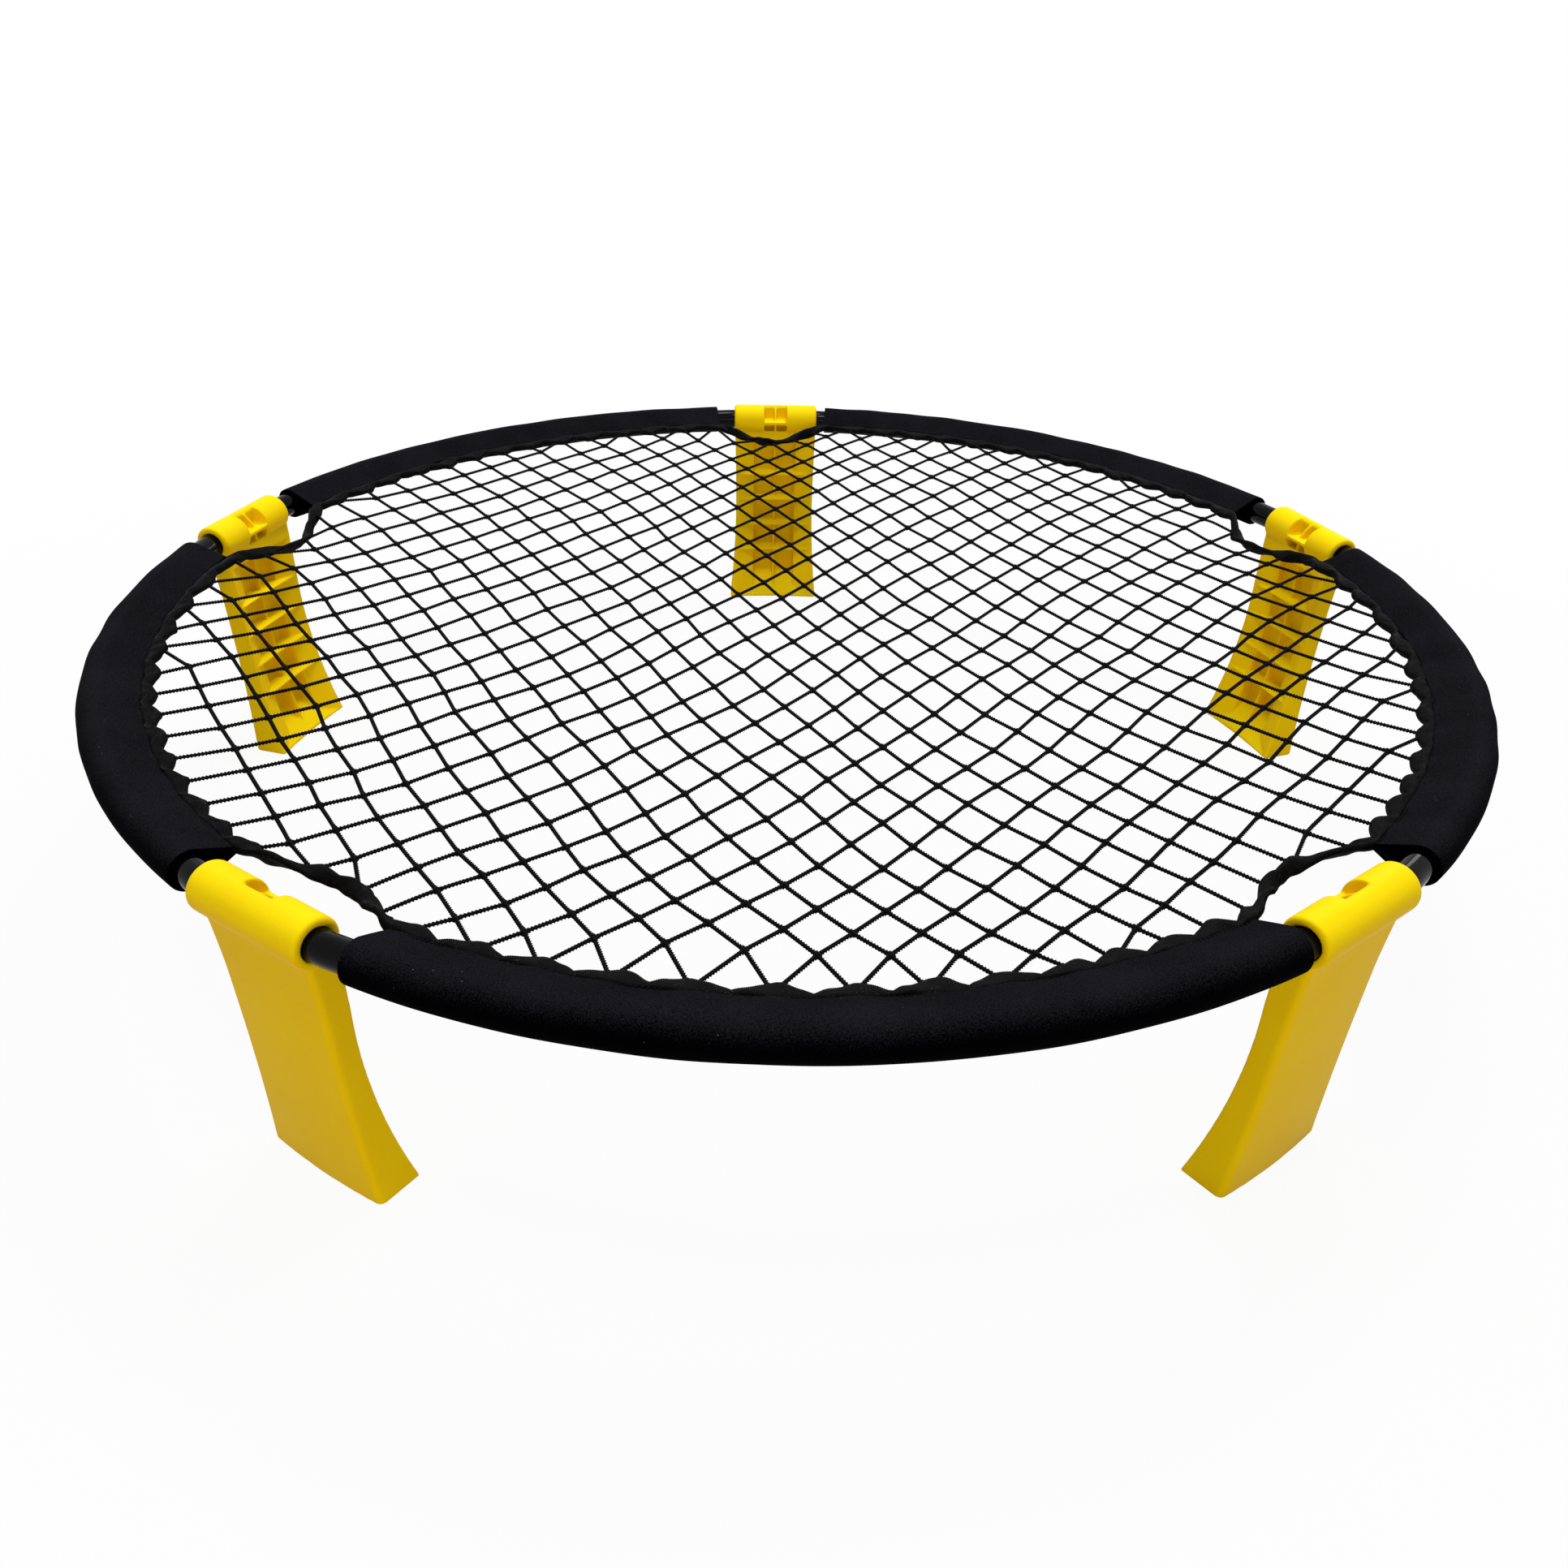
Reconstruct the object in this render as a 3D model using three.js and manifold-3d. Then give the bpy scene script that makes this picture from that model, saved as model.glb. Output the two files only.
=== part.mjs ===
// Low round bounce net: five curved rim tubes plug into five moulded legs, and a knotless net
// hangs from fabric sleeves on the tubes. Millimetres, +Z up. The origin is on the ground,
// under the centre of the ring. Each leg turns about the tube ends held in its barrel.

import * as THREE from 'three';
import { mergeGeometries, mergeVertices } from 'three/addons/utils/BufferGeometryUtils.js';
import Module from 'manifold-3d';

const manifold = await Module();
manifold.setup();

// ---------- Driving dimensions (mm, degrees) ----------

// Ring
const LEG_COUNT = 5;
const RING_RADIUS = 440; // centre line of the tubes
const RING_HEIGHT = 174; // tube axis above the ground

// Rim tubes
const TUBE_RADIUS = 8.5;
const TUBE_WALL = 1.2;
const TUBE_SIDES = 12;
const TUBE_BORE_SIDES = 8;
const ARC_STEPS = 10; // straight steps of a tube and its sleeve from one sleeve end to the other

// Leg barrel
const BARREL_RADIUS = 13.5;
const BARREL_LENGTH = 79;
const BARREL_LIP = 2.4;
const BARREL_SIDES = 24;
const BORE_CLEARANCE = 0.8; // radial, round the tube end
const BORE_END_WALL = 2; // between a bore and the middle pocket
const END_GAP = 0.8; // between a tube end and the bore's end wall

// Pocket in the middle of the barrel, measured inboard of the barrel axis and above it
const POCKET_WIDTH = 21.5;
const POCKET_WALL = 1.5; // the pocket's back wall
const POCKET_EASE = 2; // slope along the top of the back wall
const POCKET_FLOOR = -9;
const WEB_THICKNESS = 2.2;
const WEB_FOOT = 10; // where the web's curved edge meets the ledge
const WEB_CURVE = 1; // how far the edge curves out from a straight line
const LEDGE_TOP = 0.8;
const LEDGE_THICKNESS = 3;
const LEDGE_REACH = 13.2;

// Leg plate, measured from the barrel axis: depth downwards, inboard and outboard of the axis
const PLATE_TOP_DEPTH = 4;
const PLATE_HALF_WIDTH_TOP = 39;
const PLATE_HALF_WIDTH_WAIST = 37.5;
const PLATE_HALF_WIDTH_FOOT = 43;
const PLATE_WAIST_DEPTH = 80;
const OUTER_FACE_TOP = 7.5; // outboard of the axis, at the top of the plate
const OUTER_FACE_FOOT = -1.8;
const SHOULDER = 3; // how far the outer face swells outwards to meet the barrel
const SHOULDER_DEPTH = 20; // where the swelling ends
const INNER_EDGE_TOP = 10.3; // inboard of the axis
const INNER_EDGE_FOOT = 28.5;
const INNER_CURVE_DEPTH = 50; // where the inner edge starts to curve inboard
const INNER_CURVE_POWER = 1.9;
const PLATE_CORNER = 3.5; // radius of the long corners of the outer face
const PLATE_CORNER_STEPS = 2;
const PLATE_EDGE = 0.8; // bevel along the inner edges
const PLATE_STEPS = 8;

// Hollow inner side of the leg plate
const HOLLOW_TOP_DEPTH = 20;
const RIM_WIDTH = 2.5; // flat rim beside the sloping bands
const CHANNEL_WIDTH = 40;
const BAND_DEPTH = 6; // how far the bands slope in before the channel
const PLATE_WALL = 3;
const RIB_PITCH = 25;
const RIB_COUNT = 4;
const RIB_THICKNESS = 2;
const SPINE_THICKNESS = 1.8;
const RAMP_HEIGHT = 22; // top of the sloping foot block
const SOLE_LIP = 2; // height of the foot block at its inboard edge

// Sleeves
const SLEEVE_CLEARANCE = 0.4; // radial, round the tube
const SLEEVE_FABRIC = 2.6;
const SLEEVE_BAND = 10; // from the round part's inboard side to the sleeve's edge
const SLEEVE_EDGE_HALF = 2;
const SLEEVE_ARC_POINTS = 10;
const SLEEVE_END_GAP = 17; // bare tube between a barrel and a sleeve

// Hem and net
const HEM_WIDTH = 9;
const HEM_THICKNESS = 5;
const HEM_ROUND = 1.4; // bevel along the hem's outer and inner edges
const HEM_BOWS = [ // beside each leg: how far the hem bows inwards, and where, 0 to 1 across
  { depth: 28, apex: 0.5 },
  { depth: 26, apex: 0.58 },
  { depth: 22, apex: 0.6 },
  { depth: 22, apex: 0.54 },
  { depth: 26, apex: 0.57 },
];
const HEM_BOW_POWER = 1.25; // how sharply a bow leaves the sleeves
const HEM_STEPS = 160; // a multiple of 20, so that the hem and the net turn at the same angles
const SEAM_GAP = 0.3; // between sewn pieces that touch
const CORD_THICKNESS = 2.6;
const NET_BORDER = 1.5;
const CELL_ACROSS = 58; // diagonals of a net cell at the centre
const CELL_ALONG = 90;
const CELL_SPREAD = 0.07; // share by which the cells are wider at the ring
const CELL_DRAW = 0.28; // share by which they are shorter at the ring, towards their sides
const NET_TURN = -6; // of the cells' long diagonals from +Y, in degrees, anticlockwise
const NET_REACH = 1.2; // of the ring's radius: how far out the cells are laid before they are cut
const SMALLEST_GAP_SHARE = 0.12; // of a whole cell; smaller corners at the hem stay closed

const OVERCUT = 1; // how far a cutter reaches past the surface that it opens

// ---------- Sizes that follow ----------

const DEGREE = Math.PI / 180;
const BORE_RADIUS = (TUBE_RADIUS + BORE_CLEARANCE) / Math.cos(Math.PI / TUBE_SIDES);
const SLEEVE_BORE_RADIUS = (TUBE_RADIUS + SLEEVE_CLEARANCE) / Math.cos(Math.PI / TUBE_SIDES);
const SLEEVE_RADIUS = SLEEVE_BORE_RADIUS + SLEEVE_FABRIC;
const HUB_RADIUS = RING_RADIUS + SLEEVE_RADIUS - BARREL_RADIUS;
const SLEEVE_EDGE_RADIUS = RING_RADIUS - SLEEVE_RADIUS - SLEEVE_BAND;
const TUBE_END = POCKET_WIDTH / 2 + BORE_END_WALL + END_GAP;
const HALF_BARREL = BARREL_LENGTH / 2;
const LEG_ANGLE = (2 * Math.PI) / LEG_COUNT;
const GAP_HALF_ANGLE = Math.asin((HALF_BARREL + SLEEVE_END_GAP) / RING_RADIUS);
const ARC_STEP_ANGLE = (LEG_ANGLE - 2 * GAP_HALF_ANGLE) / ARC_STEPS;
const HEM_OUTER_RADIUS = SLEEVE_EDGE_RADIUS * Math.cos(ARC_STEP_ANGLE / 2) - SEAM_GAP;
const HEM_INNER_RADIUS = HEM_OUTER_RADIUS - HEM_WIDTH;

const YELLOW_PLASTIC = { color: 0xf3cf12, roughness: 0.42, metalness: 0 };
const BLACK_TUBE = { color: 0x0c0c10, roughness: 0.2, metalness: 0.3 };
const SLEEVE_CLOTH = { color: 0x121217, roughness: 0.95, metalness: 0 };
const HEM_TAPE = { color: 0x0e0e11, roughness: 0.8, metalness: 0 };
const NET_CORD = { color: 0x0b0b0d, roughness: 0.75, metalness: 0 };

// ---------- Geometry helpers ----------

/** Keeps only positions, shares equal vertices and drops triangles without area. */
function welded(geometry) {
  const plain = geometry.clone();
  plain.deleteAttribute('normal');
  plain.deleteAttribute('uv');
  const merged = mergeVertices(plain, 1e-4);
  const index = Array.from(merged.index.array);
  const kept = [];
  for (let i = 0; i < index.length; i += 3) {
    const [a, b, c] = index.slice(i, i + 3);
    if (a !== b && b !== c && c !== a) kept.push(a, b, c);
  }
  merged.setIndex(kept);
  return merged;
}

/** A closed geometry as a solid that can be joined and cut. */
function solid(geometry) {
  const merged = welded(geometry);
  return new manifold.Manifold(new manifold.Mesh({
    numProp: 3,
    vertProperties: new Float32Array(merged.attributes.position.array),
    triVerts: new Uint32Array(merged.index.array),
  }));
}

/** A solid back as a geometry. */
function geometryOf(body) {
  const mesh = body.getMesh();
  const geometry = new THREE.BufferGeometry();
  geometry.setAttribute('position', new THREE.BufferAttribute(mesh.vertProperties, 3));
  geometry.setIndex(new THREE.BufferAttribute(mesh.triVerts, 1));
  return geometry;
}

/** Moves every vertex to place(x, y, z). */
function reshaped(geometry, place) {
  const position = geometry.attributes.position;
  for (let i = 0; i < position.count; i += 1) {
    const point = place(position.getX(i), position.getY(i), position.getZ(i));
    position.setXYZ(i, point.x, point.y, point.z);
  }
  return geometry;
}

/** A prism over the outline from z = 0 to z = depth. */
function prism(outline, depth, steps = 1) {
  const shape = outline instanceof THREE.Shape ? outline : new THREE.Shape(outline);
  const curveSegments = PLATE_CORNER_STEPS;
  return new THREE.ExtrudeGeometry(shape, { depth, steps, curveSegments, bevelEnabled: false });
}

/** A place on a line through the levels, where 0 is the first level, 1 the second and so on. */
function alongLevels(levels, place) {
  const first = Math.min(Math.max(Math.floor(place), 0), levels.length - 2);
  return levels[first] + (place - first) * (levels[first + 1] - levels[first]);
}

/** Stretches a place in 0..from to 0..to, with a margin at each end that keeps its size. */
function stretched(place, from, to, margin) {
  if (place <= margin) return place;
  if (place >= from - margin) return to - (from - place);
  return margin + ((place - margin) * (to - 2 * margin)) / (from - 2 * margin);
}

/** A section carried through stations, each with an origin and an outward direction. */
function swept(section, stations) {
  const last = stations.length - 1;
  return reshaped(prism(section, last, last), (x, y, z) => {
    const { origin, outward } = stations[Math.round(z)];
    return origin.clone().addScaledVector(outward, x).setZ(origin.z + y);
  });
}

/** A regular polygon's points about the origin, running anticlockwise. */
function polygon(radius, sides, turn = 0) {
  const points = [];
  for (let i = 0; i < sides; i += 1) {
    const angle = turn + (2 * Math.PI * i) / sides;
    points.push(new THREE.Vector2(radius * Math.cos(angle), radius * Math.sin(angle)));
  }
  return points;
}

/** A prism along X over an outline of (outboard, up) points, as wide to both sides of x = 0. */
function crosswise(outline, wide) {
  return reshaped(prism(outline, wide), (y, z, x) => new THREE.Vector3(x - wide / 2, y, z));
}

/** A box between two corners. */
function box(x0, x1, y0, y1, z0, z1) {
  const geometry = new THREE.BoxGeometry(x1 - x0, y1 - y0, z1 - z0);
  return geometry.translate((x0 + x1) / 2, (y0 + y1) / 2, (z0 + z1) / 2);
}

function radial(angle) {
  return new THREE.Vector3(Math.cos(angle), Math.sin(angle), 0);
}

function legAngle(index) {
  return Math.PI / 2 + index * LEG_ANGLE;
}

// ---------- Rim tubes ----------

/** The straight end of a tube in the barrel at the given angle, side -1 or +1 of it. */
function spigotStations(angle, side) {
  const outward = radial(angle);
  const along = new THREE.Vector3(-Math.sin(angle), Math.cos(angle), 0).multiplyScalar(side);
  return [TUBE_END, HALF_BARREL].map((distance) => ({
    origin: outward.clone().multiplyScalar(HUB_RADIUS).addScaledVector(along, distance)
      .setZ(RING_HEIGHT),
    outward,
  }));
}

/** Stations on the ring from one sleeve end to the other, between a leg and the next. */
function ringStations(index) {
  const stations = [];
  for (let i = 0; i <= ARC_STEPS; i += 1) {
    const outward = radial(legAngle(index + 1) - GAP_HALF_ANGLE - i * ARC_STEP_ANGLE);
    const origin = outward.clone().multiplyScalar(RING_RADIUS).setZ(RING_HEIGHT);
    stations.push({ origin, outward });
  }
  return stations;
}

/** The tube between one leg and the next. */
function rimTube(index) {
  const section = new THREE.Shape(polygon(TUBE_RADIUS, TUBE_SIDES));
  section.holes.push(new THREE.Path(polygon(TUBE_RADIUS - TUBE_WALL, TUBE_BORE_SIDES)));
  const stations = [
    ...spigotStations(legAngle(index + 1), -1),
    ...ringStations(index),
    ...spigotStations(legAngle(index), 1).reverse(),
  ];
  return welded(swept(section, stations));
}

// ---------- Sleeves ----------

/** A round sleeve whose two layers run together into a flat band on the inboard side. */
function sleeveSection() {
  const reach = SLEEVE_RADIUS + SLEEVE_BAND;
  const rise = Math.atan2(SLEEVE_EDGE_HALF, reach);
  const span = Math.hypot(SLEEVE_EDGE_HALF, reach);
  const leave = Math.PI - rise - Math.acos(SLEEVE_RADIUS / span);
  const outline = [];
  for (let i = 0; i <= SLEEVE_ARC_POINTS; i += 1) {
    const angle = -leave + (2 * leave * i) / SLEEVE_ARC_POINTS;
    outline.push(new THREE.Vector2(Math.cos(angle), Math.sin(angle)).multiplyScalar(SLEEVE_RADIUS));
  }
  outline.push(new THREE.Vector2(-reach, SLEEVE_EDGE_HALF));
  outline.push(new THREE.Vector2(-reach, -SLEEVE_EDGE_HALF));
  const section = new THREE.Shape(outline);
  section.holes.push(new THREE.Path(polygon(SLEEVE_BORE_RADIUS, TUBE_SIDES)));
  return section;
}

function sleeve(index) {
  return welded(swept(sleeveSection(), ringStations(index)));
}

// ---------- Hem and net ----------

/** How far the hem bows inwards at an angle about the centre. */
function hemBow(angle) {
  const turns = (angle - legAngle(0)) / LEG_ANGLE;
  const nearest = Math.round(turns);
  const { depth, apex } = HEM_BOWS[(nearest + LEG_COUNT) % LEG_COUNT];
  const share = 0.5 + ((turns - nearest) * LEG_ANGLE) / (2 * GAP_HALF_ANGLE);
  const rise = Math.min(share / apex, (1 - share) / (1 - apex));
  return rise > 0 ? depth * Math.sin((rise * Math.PI) / 2) ** HEM_BOW_POWER : 0;
}

/** A flat ring that follows the sleeves' edges and bows inwards beside the legs. */
function hem() {
  const half = HEM_THICKNESS / 2;
  const profile = [
    new THREE.Vector2(HEM_INNER_RADIUS, 0),
    new THREE.Vector2(HEM_INNER_RADIUS + HEM_ROUND, -half),
    new THREE.Vector2(HEM_OUTER_RADIUS - HEM_ROUND, -half),
    new THREE.Vector2(HEM_OUTER_RADIUS, 0),
    new THREE.Vector2(HEM_OUTER_RADIUS - HEM_ROUND, half),
    new THREE.Vector2(HEM_INNER_RADIUS + HEM_ROUND, half),
    new THREE.Vector2(HEM_INNER_RADIUS, 0),
  ];
  const ring = new THREE.LatheGeometry(profile, HEM_STEPS).rotateX(Math.PI / 2);
  return welded(reshaped(ring, (x, y, z) => {
    const angle = Math.atan2(y, x);
    const point = radial(angle).multiplyScalar(Math.hypot(x, y) - hemBow(angle));
    return point.setZ(RING_HEIGHT + z);
  }));
}

/** The net's outline, drawn in from the hem's inner edge by the given distance. */
function netOutline(inset) {
  const points = [];
  for (let i = 0; i < HEM_STEPS; i += 1) {
    const angle = (2 * Math.PI * i) / HEM_STEPS;
    const radius = HEM_INNER_RADIUS - SEAM_GAP - inset - hemBow(angle);
    points.push(new THREE.Vector2(Math.cos(angle), Math.sin(angle)).multiplyScalar(radius));
  }
  return points;
}

/** Where two families of cords would cross in an even net, with rows and columns counted from
 *  the centre. */
function evenCrossing(row, column) {
  const x = ((column - row) * CELL_ACROSS) / 2;
  return new THREE.Vector2(x, ((column + row) * CELL_ALONG) / 2);
}

/** Where a crossing lies once the round hem draws the net. */
function drawnCrossing(even) {
  const { x, y } = even.clone().divideScalar(RING_RADIUS);
  const wide = even.x * (1 + CELL_SPREAD * (x * x + y * y));
  const long = even.y * (1 - CELL_DRAW * x * x);
  return new THREE.Vector2(wide, long).rotateAround(new THREE.Vector2(), NET_TURN * DEGREE);
}

/** A convex outline drawn in by a distance on every side. */
function drawnIn(outline, distance) {
  const count = outline.length;
  const lines = outline.map((point, i) => {
    const direction = outline[(i + 1) % count].clone().sub(point).normalize();
    const inward = new THREE.Vector2(-direction.y, direction.x);
    return { start: point.clone().addScaledVector(inward, distance), direction };
  });
  return lines.map((line, i) => {
    const before = lines[(i + count - 1) % count];
    const between = line.start.clone().sub(before.start);
    const along = between.cross(line.direction) / before.direction.cross(line.direction);
    return before.start.clone().addScaledVector(before.direction, along);
  });
}

/** A prism through the net's whole thickness. */
function throughNet(outline, low) {
  return prism(outline, CORD_THICKNESS + 2 * OVERCUT).translate(0, 0, low - OVERCUT);
}

/** A flat net: a thin sheet between the hem's edges with a hole for each cell. */
function net() {
  const low = RING_HEIGHT - CORD_THICKNESS / 2;
  const sheet = solid(prism(netOutline(0), CORD_THICKNESS).translate(0, 0, low));
  const field = solid(throughNet(netOutline(NET_BORDER), low));
  const reach = Math.ceil((2 * RING_RADIUS) / Math.min(CELL_ACROSS, CELL_ALONG));
  const cells = [];
  for (let row = -reach; row < reach; row += 1) {
    for (let column = -reach; column < reach; column += 1) {
      const even = [
        evenCrossing(row, column),
        evenCrossing(row, column + 1),
        evenCrossing(row + 1, column + 1),
        evenCrossing(row + 1, column),
      ];
      const corners = even.map(drawnCrossing);
      const near = even.every((corner) => corner.length() < NET_REACH * RING_RADIUS)
        && corners.some((corner) => corner.length() < HEM_INNER_RADIUS);
      if (near) cells.push(throughNet(drawnIn(corners, CORD_THICKNESS / 2), low));
    }
  }
  const wholeCell = ((CELL_ACROSS * CELL_ALONG) / 2) * (CORD_THICKNESS + 2 * OVERCUT);
  const gaps = solid(mergeGeometries(cells))
    .intersect(field)
    .decompose()
    .filter((gap) => gap.volume() > SMALLEST_GAP_SHARE * wholeCell);
  return geometryOf(sheet.subtract(manifold.Manifold.union(gaps)));
}

// ---------- Legs: X along the barrel, Y outboard, Z up, origin on the barrel axis ----------

function plateHalfWidth(depth) {
  const above = Math.max(0, 1 - depth / PLATE_WAIST_DEPTH);
  const below = Math.max(0, (depth - PLATE_WAIST_DEPTH) / (RING_HEIGHT - PLATE_WAIST_DEPTH));
  return PLATE_HALF_WIDTH_WAIST
    + (PLATE_HALF_WIDTH_TOP - PLATE_HALF_WIDTH_WAIST) * above ** 2
    + (PLATE_HALF_WIDTH_FOOT - PLATE_HALF_WIDTH_WAIST) * below ** 2;
}

function outerFace(depth) {
  const swelling = SHOULDER * Math.max(0, 1 - depth / SHOULDER_DEPTH) ** 2;
  return OUTER_FACE_TOP + ((OUTER_FACE_FOOT - OUTER_FACE_TOP) * depth) / RING_HEIGHT + swelling;
}

function innerEdge(depth) {
  const curve = Math.max(0, (depth - INNER_CURVE_DEPTH) / (RING_HEIGHT - INNER_CURVE_DEPTH));
  return -(INNER_EDGE_TOP + (INNER_EDGE_FOOT - INNER_EDGE_TOP) * curve ** INNER_CURVE_POWER);
}

/** How far a point beside the leg's centre plane lies inboard, because the plate is curved. */
function plateCurve(x) {
  return -(x * x) / (2 * RING_RADIUS);
}

/** The plate's section at the foot, with its inner edge at y = 0 and the outer face above. */
function plateSection(thickness) {
  const half = PLATE_HALF_WIDTH_FOOT;
  const centre = half - PLATE_CORNER;
  const shape = new THREE.Shape();
  shape.moveTo(-half + PLATE_EDGE, 0);
  shape.lineTo(half - PLATE_EDGE, 0);
  shape.lineTo(half, PLATE_EDGE);
  shape.absarc(centre, thickness - PLATE_CORNER, PLATE_CORNER, 0, Math.PI / 2, false);
  shape.lineTo(centre / 2, thickness);
  shape.lineTo(0, thickness);
  shape.lineTo(-centre / 2, thickness);
  shape.absarc(-centre, thickness - PLATE_CORNER, PLATE_CORNER, Math.PI / 2, Math.PI, false);
  shape.lineTo(-half, PLATE_EDGE);
  return shape;
}

/** The leg plate without its hollow, from the ground up to its top beside the barrel. */
function legPlate() {
  const wide = 2 * PLATE_HALF_WIDTH_FOOT;
  const deep = INNER_EDGE_FOOT + OUTER_FACE_FOOT;
  const section = prism(plateSection(deep), RING_HEIGHT - PLATE_TOP_DEPTH, PLATE_STEPS);
  return reshaped(section, (across, outwards, z) => {
    const depth = RING_HEIGHT - z;
    const half = plateHalfWidth(depth);
    const inner = innerEdge(depth);
    const x = stretched(across + wide / 2, wide, 2 * half, PLATE_CORNER) - half;
    const y = inner + stretched(outwards, deep, outerFace(depth) - inner, PLATE_CORNER);
    return new THREE.Vector3(x, y + plateCurve(x), -depth);
  });
}

/** A cutter for the hollow. Across, 1 is the channel's edge and 2 the rim. Outwards, 0 is the
 *  plate's inner edge, 1 the foot of the sloping bands and 2 the channel's floor. */
function hollowCutter(section) {
  const span = RING_HEIGHT - HOLLOW_TOP_DEPTH;
  return reshaped(prism(section, span, PLATE_STEPS), (across, outwards, z) => {
    const depth = RING_HEIGHT - z;
    const rim = plateHalfWidth(depth) - RIM_WIDTH;
    const inner = innerEdge(depth);
    const floor = outerFace(depth) - PLATE_WALL;
    const x = Math.sign(across) * alongLevels([0, CHANNEL_WIDTH / 2, rim], Math.abs(across));
    const y = alongLevels([inner, inner + BAND_DEPTH, floor], outwards);
    return new THREE.Vector3(x, y + plateCurve(x), -depth);
  });
}

/** The V-shaped tray between the rims, open inboard. */
function trayCutter() {
  return hollowCutter([
    new THREE.Vector2(-2, -1),
    new THREE.Vector2(2, -1),
    new THREE.Vector2(2, 0),
    new THREE.Vector2(1, 1),
    new THREE.Vector2(-1, 1),
    new THREE.Vector2(-2, 0),
  ]);
}

/** The channel that goes deeper, down the middle of the tray. */
function channelCutter() {
  return hollowCutter([
    new THREE.Vector2(-1, 0),
    new THREE.Vector2(1, 0),
    new THREE.Vector2(1, 2),
    new THREE.Vector2(-1, 2),
  ]);
}

/** The block at the foot whose top slopes down to the sole's inboard edge. */
function footRamp() {
  const wide = 2 * PLATE_HALF_WIDTH_FOOT;
  const low = -RING_HEIGHT - OVERCUT;
  const inboard = -2 * INNER_EDGE_FOOT;
  const outline = [
    new THREE.Vector2(inboard, low),
    new THREE.Vector2(BARREL_RADIUS, low),
    new THREE.Vector2(BARREL_RADIUS, RAMP_HEIGHT - RING_HEIGHT),
    new THREE.Vector2(OUTER_FACE_FOOT - PLATE_WALL, RAMP_HEIGHT - RING_HEIGHT),
    new THREE.Vector2(-INNER_EDGE_FOOT, SOLE_LIP - RING_HEIGHT),
    new THREE.Vector2(inboard, SOLE_LIP - RING_HEIGHT),
  ];
  return crosswise(outline, wide);
}

/** What is cut out of the leg's inner side, with the ribs, the spine and the foot left standing. */
function legHollow() {
  const wide = PLATE_HALF_WIDTH_FOOT;
  const deep = 2 * INNER_EDGE_FOOT;
  const kept = [footRamp()];
  for (let i = 1; i <= RIB_COUNT; i += 1) {
    const low = RAMP_HEIGHT + i * RIB_PITCH - RIB_THICKNESS / 2 - RING_HEIGHT;
    kept.push(box(-wide, wide, -deep, deep, low, low + RIB_THICKNESS));
  }
  const thin = SPINE_THICKNESS / 2;
  const spine = box(-thin, thin, -deep, deep, -RING_HEIGHT - OVERCUT, 0);
  const channel = solid(channelCutter()).subtract(solid(spine));
  return kept.reduce((rest, block) => rest.subtract(solid(block)), solid(trayCutter()).add(channel));
}

/** A rounded barrel along X. */
function barrel() {
  const profile = [
    new THREE.Vector2(0, -HALF_BARREL),
    new THREE.Vector2(BARREL_RADIUS - BARREL_LIP, -HALF_BARREL),
    new THREE.Vector2(BARREL_RADIUS, -HALF_BARREL + BARREL_LIP),
    new THREE.Vector2(BARREL_RADIUS, HALF_BARREL - BARREL_LIP),
    new THREE.Vector2(BARREL_RADIUS - BARREL_LIP, HALF_BARREL),
    new THREE.Vector2(0, HALF_BARREL),
  ];
  return new THREE.LatheGeometry(profile, BARREL_SIDES).rotateZ(-Math.PI / 2);
}

/** The blind hole that takes one tube end, side -1 or +1. */
function bore(side) {
  const inner = POCKET_WIDTH / 2 + BORE_END_WALL;
  const length = HALF_BARREL + OVERCUT - inner;
  return new THREE.CylinderGeometry(BORE_RADIUS, BORE_RADIUS, length, TUBE_SIDES)
    .rotateZ(Math.PI / 2)
    .rotateX(Math.PI / TUBE_SIDES)
    .translate(side * (inner + length / 2), 0, 0);
}

/** The web across the pocket, whose edge curves down from the back wall to the ledge. */
function pocketWeb() {
  const back = POCKET_EASE - POCKET_WALL;
  const top = new THREE.Vector2(-POCKET_WALL, BARREL_RADIUS - POCKET_EASE);
  const foot = new THREE.Vector2(-WEB_FOOT, LEDGE_TOP);
  const along = foot.clone().sub(top).normalize();
  const outwards = new THREE.Vector2(along.y, -along.x);
  const middle = top.clone().add(foot).multiplyScalar(0.5).addScaledVector(outwards, WEB_CURVE);
  const outline = [
    new THREE.Vector2(back, POCKET_FLOOR - OVERCUT),
    new THREE.Vector2(back, top.y),
    top,
    middle,
    foot,
    new THREE.Vector2(foot.x, POCKET_FLOOR - OVERCUT),
  ];
  return crosswise(outline, WEB_THICKNESS);
}

/** The open pocket between the bores, with a web across it and a ledge along it. */
function barrelPocket() {
  const far = 2 * BARREL_RADIUS;
  const outline = [
    new THREE.Vector2(-far, POCKET_FLOOR),
    new THREE.Vector2(-POCKET_WALL, POCKET_FLOOR),
    new THREE.Vector2(-POCKET_WALL, BARREL_RADIUS - POCKET_EASE),
    new THREE.Vector2(2 * POCKET_EASE - POCKET_WALL, BARREL_RADIUS + POCKET_EASE),
    new THREE.Vector2(-far, BARREL_RADIUS + POCKET_EASE),
  ];
  const half = POCKET_WIDTH / 2 + OVERCUT;
  const low = LEDGE_TOP - LEDGE_THICKNESS;
  const ledge = box(-half, half, -LEDGE_REACH, POCKET_EASE - POCKET_WALL, low, LEDGE_TOP);
  return solid(crosswise(outline, POCKET_WIDTH))
    .subtract(solid(pocketWeb()))
    .subtract(solid(ledge));
}

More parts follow.
